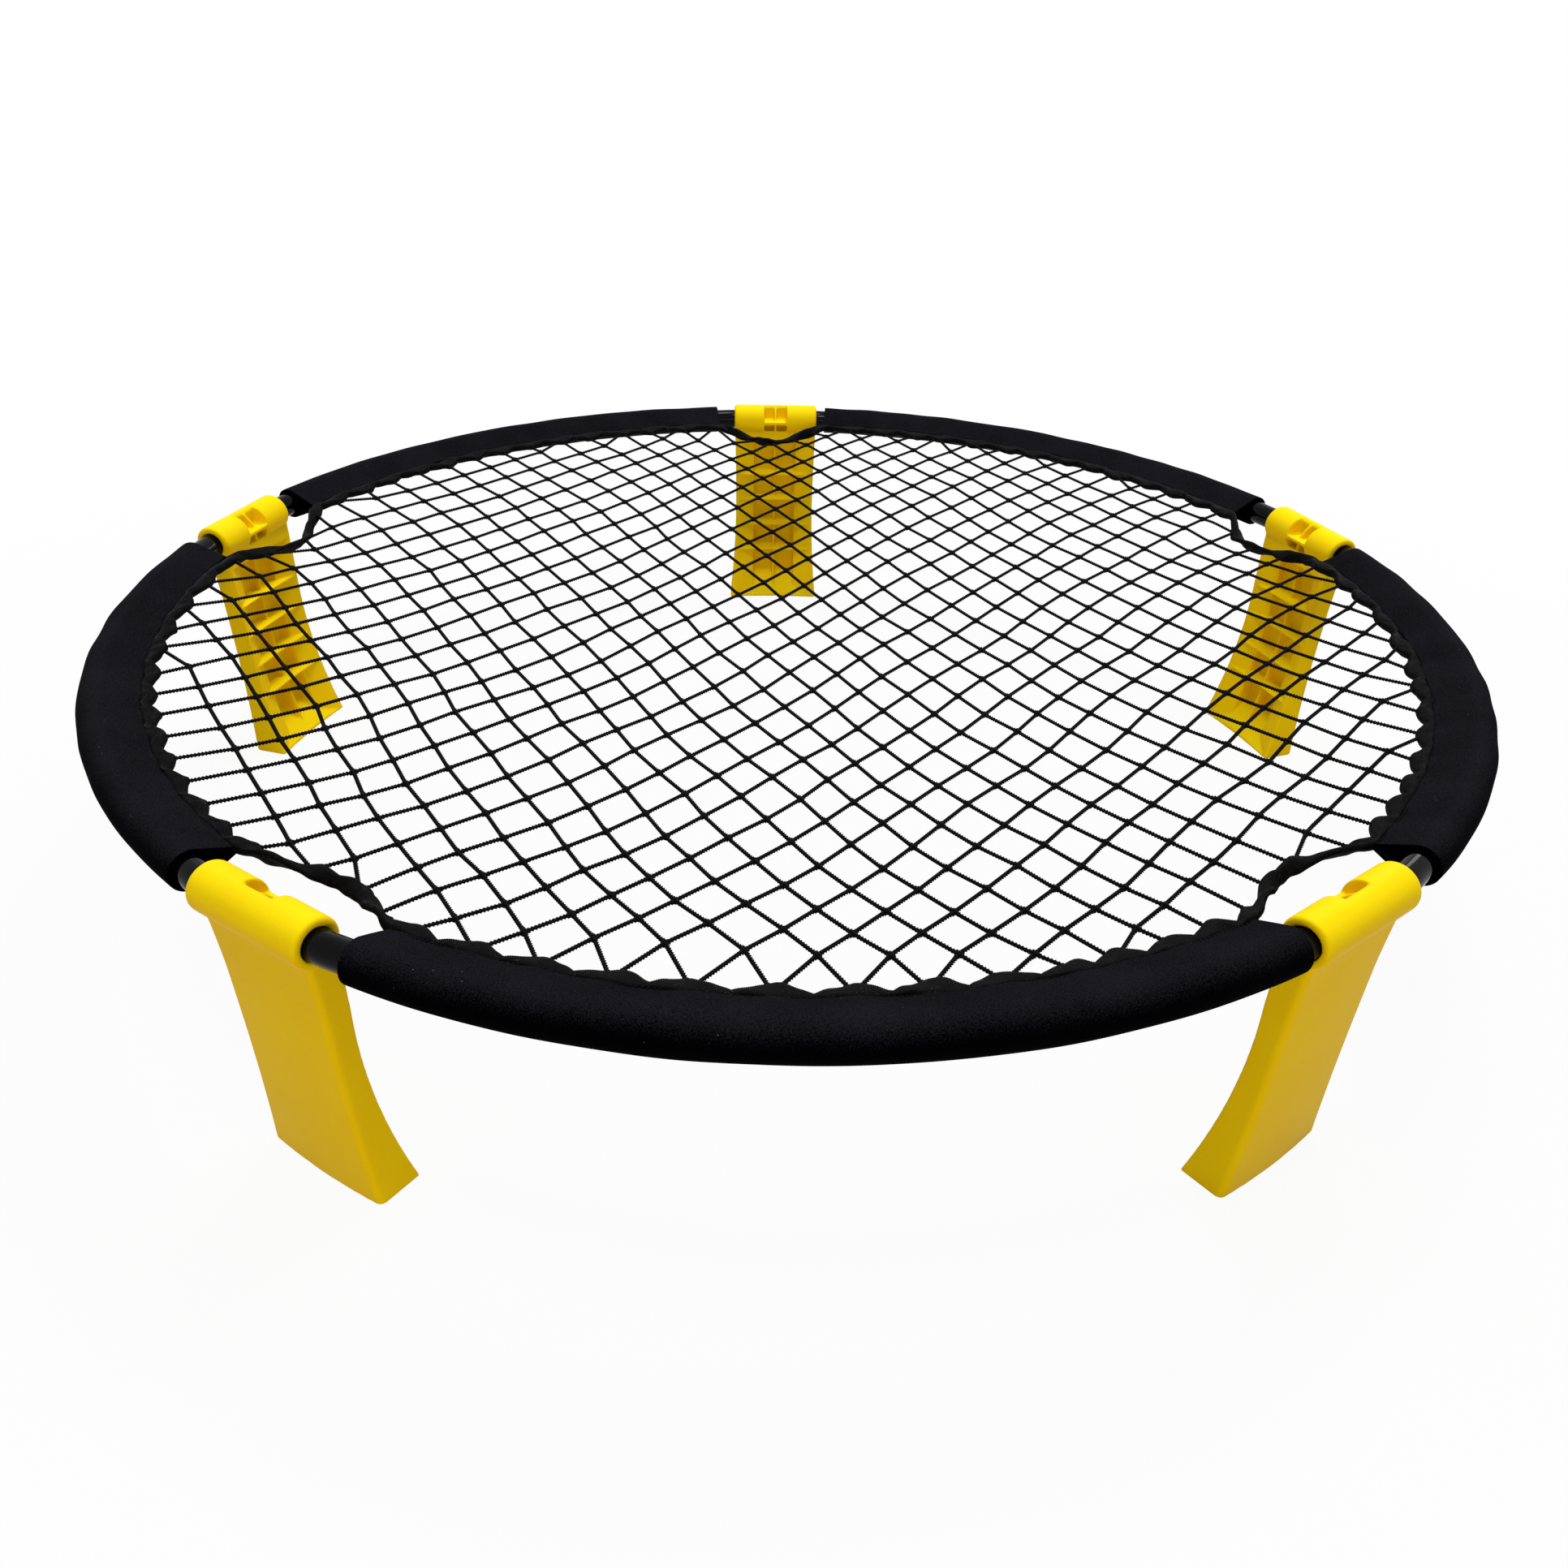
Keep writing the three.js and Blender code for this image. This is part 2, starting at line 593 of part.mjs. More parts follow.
function leg() {
  const moulding = solid(legPlate())
    .add(solid(barrel()))
    .subtract(legHollow())
    .subtract(barrelPocket())
    .subtract(solid(bore(-1)))
    .subtract(solid(bore(1)));
  return geometryOf(moulding);
}

// ---------- Assembly ----------

const assembly = new THREE.Group();

function piece(name, geometry, look) {
  geometry.computeVertexNormals();
  const mesh = new THREE.Mesh(geometry, new THREE.MeshStandardMaterial(look));
  mesh.name = name;
  return mesh;
}

for (let i = 0; i < LEG_COUNT; i += 1) {
  assembly.add(piece(`rim_tube_${i + 1}`, rimTube(i), BLACK_TUBE));
  assembly.add(piece(`sleeve_${i + 1}`, sleeve(i), SLEEVE_CLOTH));
  const hub = new THREE.Group();
  hub.position.copy(radial(legAngle(i)).multiplyScalar(HUB_RADIUS)).setZ(RING_HEIGHT);
  hub.rotation.z = legAngle(i) - Math.PI / 2;
  hub.add(piece(`leg_${i + 1}`, leg(), YELLOW_PLASTIC));
  assembly.add(hub);
}
assembly.add(piece('net_hem', hem(), HEM_TAPE));
assembly.add(piece('net', net(), NET_CORD));

export default assembly;
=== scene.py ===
"""A low round bounce net on five folding legs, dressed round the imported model.

Metres, +Z up, origin on the ground under the middle of the ring. Leg 1 stands at the back, and
the others follow it anticlockwise seen from above.
"""
import logging
import math
from dataclasses import dataclass, field
from enum import Enum
from typing import Sequence, Union

import bpy
import numpy as np
from mathutils import Matrix, Vector


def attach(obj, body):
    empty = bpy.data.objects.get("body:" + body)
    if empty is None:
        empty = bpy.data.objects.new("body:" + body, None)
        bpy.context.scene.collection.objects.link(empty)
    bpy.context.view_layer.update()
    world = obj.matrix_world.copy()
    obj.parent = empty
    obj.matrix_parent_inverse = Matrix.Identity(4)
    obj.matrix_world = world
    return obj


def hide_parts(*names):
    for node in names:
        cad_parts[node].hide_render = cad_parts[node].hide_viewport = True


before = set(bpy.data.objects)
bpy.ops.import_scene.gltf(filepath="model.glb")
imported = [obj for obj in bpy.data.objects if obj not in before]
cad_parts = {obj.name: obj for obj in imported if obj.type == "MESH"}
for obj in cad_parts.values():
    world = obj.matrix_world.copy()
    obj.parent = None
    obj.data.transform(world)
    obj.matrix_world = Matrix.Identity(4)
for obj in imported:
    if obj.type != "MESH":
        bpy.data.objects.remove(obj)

LOG = logging.getLogger("bounce_net")
LEG_COUNT = 5
LEG_STEP = 2 * math.pi / LEG_COUNT
UP = np.array([0.0, 0.0, 1.0])

Value = Union["Wire", float, Sequence[float]]


# ---------- Frame ----------


@dataclass(frozen=True)
class Ring:
    """Sizes that several pieces share.

    Attributes:
        radius: Centre line of the tubes.
        height: Tube axis above the ground.
        tube_radius: Outside of a tube.
        half_barrel: Half the length of a leg's barrel.
        bare_tube: Common length of tube left open between a barrel and a sleeve.
        bare_tubes: The lengths beside each leg, clockwise and anticlockwise of it.
        hub_radius: From the middle of the ring to a barrel's axis.
        hem_inner: Inner edge of the hem beside the sleeves.
        hem_outer: Outer edge of the hem, on the sleeves' bands.
    """

    radius: float = 0.440
    height: float = 0.174
    tube_radius: float = 0.0085
    half_barrel: float = 0.0395
    bare_tube: float = 0.017
    bare_tubes: tuple[tuple[float, float], ...] = (
        (0.0085, 0.0170), (0.0180, 0.0230), (0.0170, 0.0220), (0.0070, 0.0250), (0.0110, 0.0260))
    hub_radius: float = 0.438314
    hem_inner: float = 0.4090
    hem_outer: float = 0.4172

    @property
    def gap(self) -> float:
        """Angle from a leg to where the tubes follow the ring's circle."""
        return math.asin((self.half_barrel + self.bare_tube) / self.radius)

    def sleeve_end(self, leg: int, side: int) -> float:
        """Angle from a leg to the sleeve on its clockwise side, 0, or its anticlockwise side, 1."""
        return math.asin((self.half_barrel + self.bare_tubes[leg % LEG_COUNT][side]) / self.radius)

    @staticmethod
    def leg_angle(index: int) -> float:
        """The angle at which a leg stands, counted from 0 for the leg at the back."""
        return math.pi / 2 + index * LEG_STEP


def radial(angle: np.ndarray) -> np.ndarray:
    """Unit vectors away from the middle at the given angles."""
    angle = np.asarray(angle, dtype=float)
    return np.stack([np.cos(angle), np.sin(angle), np.zeros_like(angle)], -1)


def smooth_step(share: np.ndarray) -> np.ndarray:
    """Eases from 0 to 1 as the share goes from 0 to 1."""
    share = np.clip(share, 0.0, 1.0)
    return share * share * (3 - 2 * share)


def unit(vectors: np.ndarray) -> np.ndarray:
    """The vectors of shape (n, axes), each brought to a length of 1."""
    return vectors / np.linalg.norm(vectors, axis=1)[:, None]


def distances(path: np.ndarray) -> np.ndarray:
    """How far along a path each of its points lies."""
    return np.concatenate([[0], np.cumsum(np.linalg.norm(np.diff(path, axis=0), axis=1))])


def resampled(path: np.ndarray, marks: np.ndarray, at: np.ndarray) -> np.ndarray:
    """Points of a flat path at other distances than the marks of its own points."""
    return np.stack([np.interp(at, marks, path[:, axis]) for axis in (0, 1)], -1)


class Ripples:
    """Smooth irregular waves from a fixed seed."""

    def __init__(self, seed: int, waves: int, shortest: float, longest: float) -> None:
        """Draws the waves.

        Args:
            seed: Seed of the random draws.
            waves: How many sine waves are added together.
            shortest: Shortest wavelength.
            longest: Longest wavelength.
        """
        draw = np.random.RandomState(seed)
        heading = draw.uniform(0, 2 * math.pi, waves)
        pace = 2 * math.pi / draw.uniform(shortest, longest, waves)
        self.pace_u = pace * np.cos(heading)
        self.pace_v = pace * np.sin(heading)
        self.phase = draw.uniform(0, 2 * math.pi, waves)

    def at(self, u: np.ndarray, v: np.ndarray) -> np.ndarray:
        """Height of the waves at places of a surface.

        Args:
            u: First coordinates of the places.
            v: Second coordinates.

        Returns:
            Heights of about -1 to 1.
        """
        u, v = np.broadcast_arrays(u, v)
        total = np.zeros(u.shape)
        for pace_u, pace_v, phase in zip(self.pace_u, self.pace_v, self.phase):
            total += np.sin(pace_u * u + pace_v * v + phase)
        return total / math.sqrt(len(self.phase))


# ---------- Meshes ----------


@dataclass
class Skin:
    """Points and four-sided faces that become one mesh."""

    points: list = field(default_factory=list)
    faces: list = field(default_factory=list)
    count: int = 0

    def add(self, points: np.ndarray, faces: np.ndarray) -> None:
        """Adds points and faces.

        Args:
            points: Points of shape (n, 3).
            faces: Faces of shape (m, 4), which count from the first of these points.
        """
        self.faces.append(faces + self.count)
        self.points.append(points)
        self.count += len(points)

    def loft(self, rings: np.ndarray, closed_path: bool = False) -> "Skin":
        """Adds a skin over rings of points, with flat ends unless the path is closed.

        Args:
            rings: Points of shape (stations, points in a ring, 3), anticlockwise about the path.
            closed_path: Whether the last ring joins the first.

        Returns:
            This skin.
        """
        stations, around = rings.shape[:2]
        spans = stations if closed_path else stations - 1
        station = np.arange(spans)[:, None]
        point = np.arange(around)[None, :]
        after = (station + 1) % stations * around
        here = station * around
        quads = np.stack(
            [
                here + point,
                here + (point + 1) % around,
                after + (point + 1) % around,
                after + point,
            ],
            -1,
        ).reshape(-1, 4)
        self.add(rings.reshape(-1, 3), quads)
        if not closed_path:
            self.end_caps(rings)
        return self

    def end_caps(self, rings: np.ndarray) -> None:
        """Closes both ends of a loft with four-sided faces across the ring.

        Args:
            rings: The loft's points, of shape (stations, points round, 3).
        """
        around = rings.shape[1]
        first = self.count - rings.shape[0] * rings.shape[1]
        last = self.count - around
        strips = np.arange((around - 2) // 2)
        across = np.stack([strips, around - 1 - strips, around - 2 - strips, strips + 1], -1)
        self.faces.append(across + first)
        self.faces.append(across[:, ::-1] + last)

    def shell(self, outer: np.ndarray, inner: np.ndarray, closed_section: bool) -> "Skin":
        """Adds a wall between two skins with the same layout of points.

        Args:
            outer: Points of shape (stations, points across, 3).
            inner: The same for the wall's other side.
            closed_section: Whether the section runs all the way round.

        Returns:
            This skin.
        """
        stations, across = outer.shape[:2]
        spans = across if closed_section else across - 1
        station = np.arange(stations - 1)[:, None] * across
        point = np.arange(spans)[None, :]
        nxt = (point + 1) % across
        quads = np.stack(
            [station + point, station + nxt, station + across + nxt, station + across + point], -1
        ).reshape(-1, 4)
        inside = stations * across
        parts = [quads, quads[:, ::-1] + inside]
        begin = np.stack([point[0] + inside, nxt[0] + inside, nxt[0], point[0]], -1)
        end = (stations - 1) * across
        parts += [begin, begin[:, ::-1] + end]
        if not closed_section:
            row = np.arange(stations - 1) * across
            side = np.stack([row, row + across, row + across + inside, row + inside], -1)
            parts += [side, side[:, ::-1] + across - 1]
        points = np.concatenate([outer.reshape(-1, 3), inner.reshape(-1, 3)])
        self.add(points, np.concatenate(parts))
        return self

    def mesh(self, name: str) -> bpy.types.Mesh:
        """Makes the mesh.

        Args:
            name: Name of the mesh.

        Returns:
            A mesh with smooth faces that point outwards.
        """
        points = np.concatenate(self.points).astype(np.float32)
        faces = np.concatenate(self.faces).astype(np.int32)
        mesh = bpy.data.meshes.new(name)
        mesh.vertices.add(len(points))
        mesh.vertices.foreach_set("co", points.ravel())
        mesh.loops.add(faces.size)
        mesh.loops.foreach_set("vertex_index", faces.ravel())
        mesh.polygons.add(len(faces))
        mesh.polygons.foreach_set("loop_start", np.arange(0, faces.size, 4, dtype=np.int32))
        mesh.update(calc_edges=True)
        mesh.shade_smooth()
        return mesh


def placed(name: str, data: bpy.types.ID) -> bpy.types.Object:
    """Puts a mesh, a light or a camera in the scene.

    Args:
        name: Name of the object.
        data: What the object holds.

    Returns:
        The new object.
    """
    made = bpy.data.objects.new(name, data)
    bpy.context.scene.collection.objects.link(made)
    return made


def piece(name: str, mesh: bpy.types.Mesh, body: str, look: bpy.types.Material,
          nodes: Sequence[str] = ()) -> bpy.types.Object:
    """Puts a mesh in the scene as a piece of the object.

    Args:
        name: Name of the piece.
        mesh: Its mesh.
        body: The body that it rides on.
        look: Its material.
        nodes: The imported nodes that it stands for.

    Returns:
        The new object.
    """
    made = placed(name, mesh)
    mesh.materials.clear()
    mesh.materials.append(look)
    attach(made, body)
    if nodes:
        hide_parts(*nodes)
    LOG.info("%s: %d faces on %s", name, len(mesh.polygons), body)
    return made


# ---------- Shader wiring ----------


class Wire:
    """A socket's output that can be used in Python expressions."""

    def __init__(self, graph: "Graph", socket: bpy.types.NodeSocket) -> None:
        """Wraps the socket of a node in the graph."""
        self.graph = graph
        self.socket = socket

    def _math(self, operation: str, *values: Value) -> "Wire":
        """Adds a Math node over the values."""
        inputs = dict(enumerate(values))
        return self.graph.add("ShaderNodeMath", {"operation": operation}, inputs).out()

    def __add__(self, other: Value) -> "Wire":
        """This value plus another."""
        return self._math("ADD", self, other)

    __radd__ = __add__

    def __sub__(self, other: Value) -> "Wire":
        """This value less another."""
        return self._math("SUBTRACT", self, other)

    def __rsub__(self, other: Value) -> "Wire":
        """Another value less this one."""
        return self._math("SUBTRACT", other, self)

    def __mul__(self, other: Value) -> "Wire":
        """This value times another."""
        return self._math("MULTIPLY", self, other)

    __rmul__ = __mul__

    def above(self, edge: float) -> "Wire":
        """1 where the value is over the edge, else 0."""
        return self._math("GREATER_THAN", self, edge)

    def clamped(self) -> "Wire":
        """The value held between 0 and 1."""
        return self._math("MINIMUM", self._math("MAXIMUM", self, 0.0), 1.0)


class NodeOf:
    """A node that has been added, whose outputs are taken by name or number."""

    def __init__(self, graph: "Graph", node: bpy.types.Node) -> None:
        """Keeps the node with its graph."""
        self.graph = graph
        self.node = node

    def out(self, which: Union[str, int] = 0) -> Wire:
        """The output with the given name or number."""
        return Wire(self.graph, self.node.outputs[which])


class Graph:
    """The node tree of a material or a world."""

    def __init__(self, tree: bpy.types.NodeTree) -> None:
        """Empties the tree."""
        self.tree = tree
        tree.nodes.clear()

    def add(self, kind: str, settings: Union[dict, None] = None,
            inputs: Union[dict, None] = None) -> NodeOf:
        """Adds a node.

        Args:
            kind: Blender's name for the type of node.
            settings: Properties that are set first.
            inputs: Values or wires by the socket's name or number.

        Returns:
            The node.
        """
        node = self.tree.nodes.new(kind)
        for key, setting in (settings or {}).items():
            setattr(node, key, setting)
        for key, value in (inputs or {}).items():
            if isinstance(value, Wire):
                self.tree.links.new(value.socket, node.inputs[key])
            else:
                node.inputs[key].default_value = value
        return NodeOf(self, node)

    def blend(self, factor: Value, low: Value, high: Value) -> Wire:
        """A colour between two colours."""
        return self.add("ShaderNodeMix", {"data_type": "RGBA"}, {0: factor, 6: low, 7: high}).out(2)

    def noise(self, where: Wire, scale: float, detail: float = 2.0, rough: float = 0.5) -> Wire:
        """A noise value at the place."""
        inputs = {"Vector": where, "Scale": scale, "Detail": detail, "Roughness": rough}
        return self.add("ShaderNodeTexNoise", None, inputs).out(0)

    def place(self) -> Wire:
        """The place on the piece, in metres of the shared frame."""
        return self.add("ShaderNodeTexCoord").out("Object")

    def upward(self) -> Wire:
        """How far the surface faces up, from -1 to 1, while the piece is at rest."""
        facing = self.add("ShaderNodeTexCoord").out("Normal")
        return self.add("ShaderNodeSeparateXYZ", None, {0: facing}).out("Z")

    def seen(self) -> Wire:
        """1 for rays from the camera, a mirror or glass, and 0 for those that light a surface.

        Returns:
            The value.
        """
        path = self.add("ShaderNodeLightPath")
        rays = (path.out("Is Camera Ray") + path.out("Is Glossy Ray")
                + path.out("Is Transmission Ray"))
        return rays.clamped()

    def bump(self, height: Wire, distance: float, strength: float = 1.0) -> Wire:
        """A normal bent by a height."""
        inputs = {"Strength": strength, "Distance": distance, "Height": height}
        return self.add("ShaderNodeBump", None, inputs).out()

    def principled(self, inputs: dict) -> None:
        """Ends the tree in a Principled shader with the given inputs."""
        shader = self.add("ShaderNodeBsdfPrincipled", None, inputs)
        self.add("ShaderNodeOutputMaterial", None, {"Surface": shader.out()})


# ---------- Finishes ----------

Color = tuple[float, float, float, float]


def new_material(name: str) -> tuple[bpy.types.Material, Graph]:
    """A new material and its empty tree.

    Args:
        name: Name of the material.

    Returns:
        The material and the graph that fills its tree.
    """
    material = bpy.data.materials.new(name)
    material.use_nodes = True
    return material, Graph(material.node_tree)


@dataclass(frozen=True)
class MouldedPlastic:
    """Bright yellow moulded plastic with a fine grain.

    Attributes:
        lit: Colour towards which faces that point up are painted, as painted light, and of the
            grain's high spots.
        deep: Colour towards which side and lower faces are painted, as painted shade, and of the
            grain's low spots and the slight clouding.
        grain: Grains per metre.
    """

    lit: Color = (0.93, 0.745, 0.005, 1.0)
    deep: Color = (0.88, 0.515, 0.001, 1.0)
    grain: float = 1500.0

    def material(self) -> bpy.types.Material:
        """Makes the material.

        Returns:
            The finished material.
        """
        material, graph = new_material("yellow_plastic")
        place = graph.place()
        cloud = graph.noise(place, 34.0, 3.0)
        grain = graph.noise(place, self.grain, 2.0, 0.6)
        scuff = graph.noise(place, 210.0, 4.0, 0.65)
        # Painted light and shade: faces that point up are painted towards the lit colour, and side
        # and lower faces towards the deep one, on top of the real clouding and grain.
        painted_light_grain_and_cloud = (0.6 * graph.upward() + 0.3 * cloud + 0.5 * grain - 0.2).clamped()
        graph.principled({
            "Base Color": graph.blend(painted_light_grain_and_cloud, self.deep, self.lit),
            "Roughness": 0.30 + 0.16 * scuff,
            "Specular IOR Level": 0.014,
            "Normal": graph.bump(0.8 * grain + 0.5 * scuff, 0.00012),
        })
        return material


@dataclass(frozen=True)
class GlossCoat:
    """Gloss black coating on a steel tube.

    Attributes:
        black: Colour of the coating.
        worn: Colour where it is rubbed a little dull.
    """

    black: Color = (0.0006, 0.0006, 0.0012, 1.0)
    worn: Color = (0.006, 0.006, 0.008, 1.0)

    def material(self) -> bpy.types.Material:
        """Makes the material.

        Returns:
            The finished material.
        """
        material, graph = new_material("tube_coating")
        place = graph.place()
        rub = graph.noise(place, 160.0, 5.0, 0.7)
        rubbed = (6.0 * rub - 3.5).clamped()
        peel = graph.noise(place, 900.0, 1.0)
        graph.principled({
            "Base Color": graph.blend(rubbed, self.black, self.worn),
            "Roughness": 0.04 + 0.12 * rubbed,
            "Specular IOR Level": 0.08,
            "Normal": graph.bump(peel, 0.00001),
        })
        return material


@dataclass(frozen=True)
class FoamCloth:
    """Dull black cloth with a fine grain, its upper side painted lighter and its lower side darker
    as painted light and shade, and a few specks of lint.

    Attributes:
        black: Colour of the cloth's low spots, and of its lower faces, which are painted darker as
            painted shade.
        raised_fibres_and_painted_light: Colour of the raised fibres, and of the cloth's upper
            faces, which are painted lighter as painted light.
        lint: Colour of the specks.
        fibres: Fibres per metre.
        specks: Places per metre where a speck can lie.
    """

    black: Color = (0.0002, 0.0002, 0.0005, 1.0)
    raised_fibres_and_painted_light: Color = (0.0115, 0.0115, 0.0145, 1.0)
    lint: Color = (0.08, 0.08, 0.09, 1.0)
    fibres: float = 1300.0
    specks: float = 210.0

    def material(self) -> bpy.types.Material:
        """Makes the material.

        Returns:
            The finished material.
        """
        material, graph = new_material("sleeve_cloth")
        place = graph.place()
        fibre = graph.noise(place, self.fibres, 3.0, 0.75)
        weave = graph.noise(place, 900.0, 2.0, 0.5)
        fade = graph.noise(place, 26.0, 3.0)
        cells = graph.add("ShaderNodeTexVoronoi", {"feature": "F1"},
                          {"Vector": place, "Scale": self.specks})
        rare = graph.noise(place, 55.0, 2.0)
        speck = (1.0 - cells.out("Distance")).above(0.94) * rare.above(0.62)
        # Painted light and shade: faces that point up are painted lighter and those that point down
        # darker, on top of the real fibre grain and random fading.
        tone = (3.0 * fibre + 0.6 * fade + 1.2 * graph.upward() - 2.35).clamped()
        cloth = graph.blend(tone, self.black, self.raised_fibres_and_painted_light)
        graph.principled({
            "Base Color": graph.blend(speck, cloth, self.lint),
            "Roughness": 0.86 + 0.1 * fade,
            "Specular IOR Level": 0.01,
            "Normal": graph.bump(0.6 * fibre + 0.6 * weave, 0.00025),
        })
        return material


@dataclass(frozen=True)
class YarnFinish:
    """Black yarn, as in the hem's tape and the net's cords.

    Attributes:
        name: Name of the material.
        black: Colour of the yarn in shade.
        bright: Colour of the yarn in light.
        painted_glint: Colour painted on the fibres that catch the light, a painted highlight.
        fibres: Fibres per metre.
        glint: Level over which a single fibre is painted with that highlight.
        roughness: Roughness of the yarn.
    """

    name: str
    black: Color = (0.0008, 0.0008, 0.0010, 1.0)
    bright: Color = (0.011, 0.0107, 0.0107, 1.0)
    painted_glint: Color = (0.10, 0.10, 0.105, 1.0)
    fibres: float = 2200.0
    glint: float = 0.66
    roughness: float = 0.5

    def material(self) -> bpy.types.Material:
        """Makes the material.

        Returns:
            The finished material.
        """
        material, graph = new_material(self.name)
        place = graph.place()
        fibre = graph.noise(place, self.fibres, 2.0, 0.6)
        patch = graph.noise(place, 120.0, 2.0)
        tone = (1.6 * fibre + 0.6 * patch - 0.85).clamped()
        yarn = graph.blend(tone, self.black, self.bright)
        # Painted highlight: the brightest fibres get a light grey base colour that stands in for
        # glints of light.
        painted_glints = (8.0 * (0.8 * fibre + 0.2 * patch - self.glint)).clamped()
        graph.principled({
            "Base Color": graph.blend(painted_glints, yarn, self.painted_glint),
            "Roughness": self.roughness + 0.25 * patch,
            "Specular IOR Level": 0.03,
            "Normal": graph.bump(fibre, 0.00018),
        })
        return material


# ---------- Rim tubes ----------


@dataclass
class RimTubes:
    """Five gloss tubes that plug into the legs and carry the sleeves.

    Attributes:
        ring: The shared sizes.
        wall: Thickness of the tube's wall.
        plug_start: Where a tube begins, along the barrel from its middle.
        sides: Points round the tube.
        step: Distance between stations on the curve.
    """

    ring: Ring
    wall: float = 0.0012
    plug_start: float = 0.0133
    sides: int = 40
    step: float = 0.004

    def path(self, index: int) -> tuple[np.ndarray, np.ndarray]:
        """The centre line of a tube and the outward directions along it.

        Args:
            index: The tube's number from 0; it starts in the leg of that number.

        Returns:
            Points and unit vectors, each of shape (stations, 3).
        """
        ring = self.ring
        start = self._end(ring.leg_angle(index), 1)
        stop = self._end(ring.leg_angle(index + 1), -1)
        first = ring.leg_angle(index) + ring.gap
        last = ring.leg_angle(index + 1) - ring.gap
        count = int((last - first) * ring.radius / self.step)
        angles = np.linspace(first, last, count)
        arc = radial(angles) * ring.radius
        points = np.concatenate([start, self._bend(start[-1], start, arc[:2]), arc,
                                 self._bend(arc[-1], arc[-2:], stop[::-1][:2]), stop[::-1]])
        outward = np.cross(unit(np.gradient(points, axis=0)), UP)
        return points + UP * ring.height, outward

    def _end(self, angle: float, side: int) -> np.ndarray:
        """The straight run in a barrel, from the tube's end to the barrel's mouth.

        Args:
            angle: The leg's angle.
            side: 1 on the barrel's anticlockwise side, -1 on the other.

        Returns:
            Points of the run.
        """
        outward = radial(angle)
        along = np.cross(UP, outward) * side
        reach = np.linspace(self.plug_start, self.ring.half_barrel, 8)[:, None]
        return outward * self.ring.hub_radius + along * reach

    @staticmethod
    def _bend(start: np.ndarray, before: np.ndarray, after: np.ndarray) -> np.ndarray:
        """The smooth bend between a straight run and the ring.

        Args:
            start: Where the bend starts.
            before: Points that lead up to it.
            after: Points that follow the bend.

        Returns:
            Points of the bend, without its two ends.
        """
        lead = before[-1] - before[-2]
        lead /= np.linalg.norm(lead)
        leave = after[1] - after[0]
        leave /= np.linalg.norm(leave)
        span = np.linalg.norm(after[0] - start)
        t = np.linspace(0, 1, 7)[1:-1, None]
        return ((2 * t**3 - 3 * t**2 + 1) * start + (t**3 - 2 * t**2 + t) * lead * span
                + (3 * t**2 - 2 * t**3) * after[0] + (t**3 - t**2) * leave * span)

    def build(self, look: bpy.types.Material) -> None:
        """Makes the tubes.

        Args:
            look: Their material.
        """
        around = np.linspace(0, 2 * math.pi, self.sides, endpoint=False)
        for index in range(LEG_COUNT):
            centre, outward = self.path(index)
            spokes = (outward[:, None] * np.cos(around)[None, :, None]
                      + UP * np.sin(around)[None, :, None])
            skin = Skin().shell(
                centre[:, None] + spokes * self.ring.tube_radius,
                centre[:, None] + spokes * (self.ring.tube_radius - self.wall), True)
            name = f"rim_tube_{index + 1}"
            piece(f"{name}_coated", skin.mesh(name), "rim", look, [name])


# ---------- Net ----------


@dataclass(frozen=True)
class GapShape:
    """How the hem hangs beside a leg.

    Attributes:
        depth: How far it bows inwards.
        apex: Where it is furthest in, from 0 to 1 across the gap, anticlockwise.
    """

    depth: float
    apex: float


@dataclass
class HemLine:
    """The line that the hem follows.

    Attributes:
        ring: The shared sizes.
        gaps: How the hem hangs beside each leg.
        drop: How far it hangs below the ring there.
        fullness: How blunt its bow is.
    """

    ring: Ring
    gaps: tuple[GapShape, ...] = (
        GapShape(0.030, 0.54), GapShape(0.022, 0.46), GapShape(0.018, 0.52),
        GapShape(0.020, 0.55), GapShape(0.021, 0.63))
    drop: float = 0.006
    fullness: float = 1.25

    def in_gap(self, angle: np.ndarray) -> tuple[np.ndarray, np.ndarray]:
        """Which leg each angle is nearest, and its place across that leg's gap.

        Args:
            angle: Angles about the middle.

        Returns:
            The legs' numbers from 0, and shares that are 0 to 1 inside a gap.
        """
        turn = (np.asarray(angle) - math.pi / 2) / LEG_STEP
        nearest = np.round(turn)
        leg = nearest.astype(int) % LEG_COUNT
        before, after = (np.array([self.ring.sleeve_end(i, side) for i in range(LEG_COUNT)])[leg]
                         for side in (0, 1))
        return leg, ((turn - nearest) * LEG_STEP + before) / (before + after)

    def sway(self, angle: np.ndarray) -> tuple[np.ndarray, np.ndarray, np.ndarray]:
        """How far the hem is in and below the ring's line.

        Args:
            angle: Angles about the middle.

        Returns:
            The inward distance, the drop, and how free the hem hangs, from 0 to 1.
        """
        leg, share = self.in_gap(angle)
        depth = np.array([gap.depth for gap in self.gaps])[leg]
        apex = np.array([gap.apex for gap in self.gaps])[leg]
        rise = np.clip(np.minimum(share / apex, (1 - share) / (1 - apex)), 0, 1)
        bow = np.sin(rise * math.pi / 2) ** self.fullness
        free = smooth_step(rise * 4)
        return depth * bow, self.drop * bow, free

    def inner(self, angle: np.ndarray) -> np.ndarray:
        """Radius of the hem's inner edge."""
        return self.ring.hem_inner - self.sway(angle)[0]


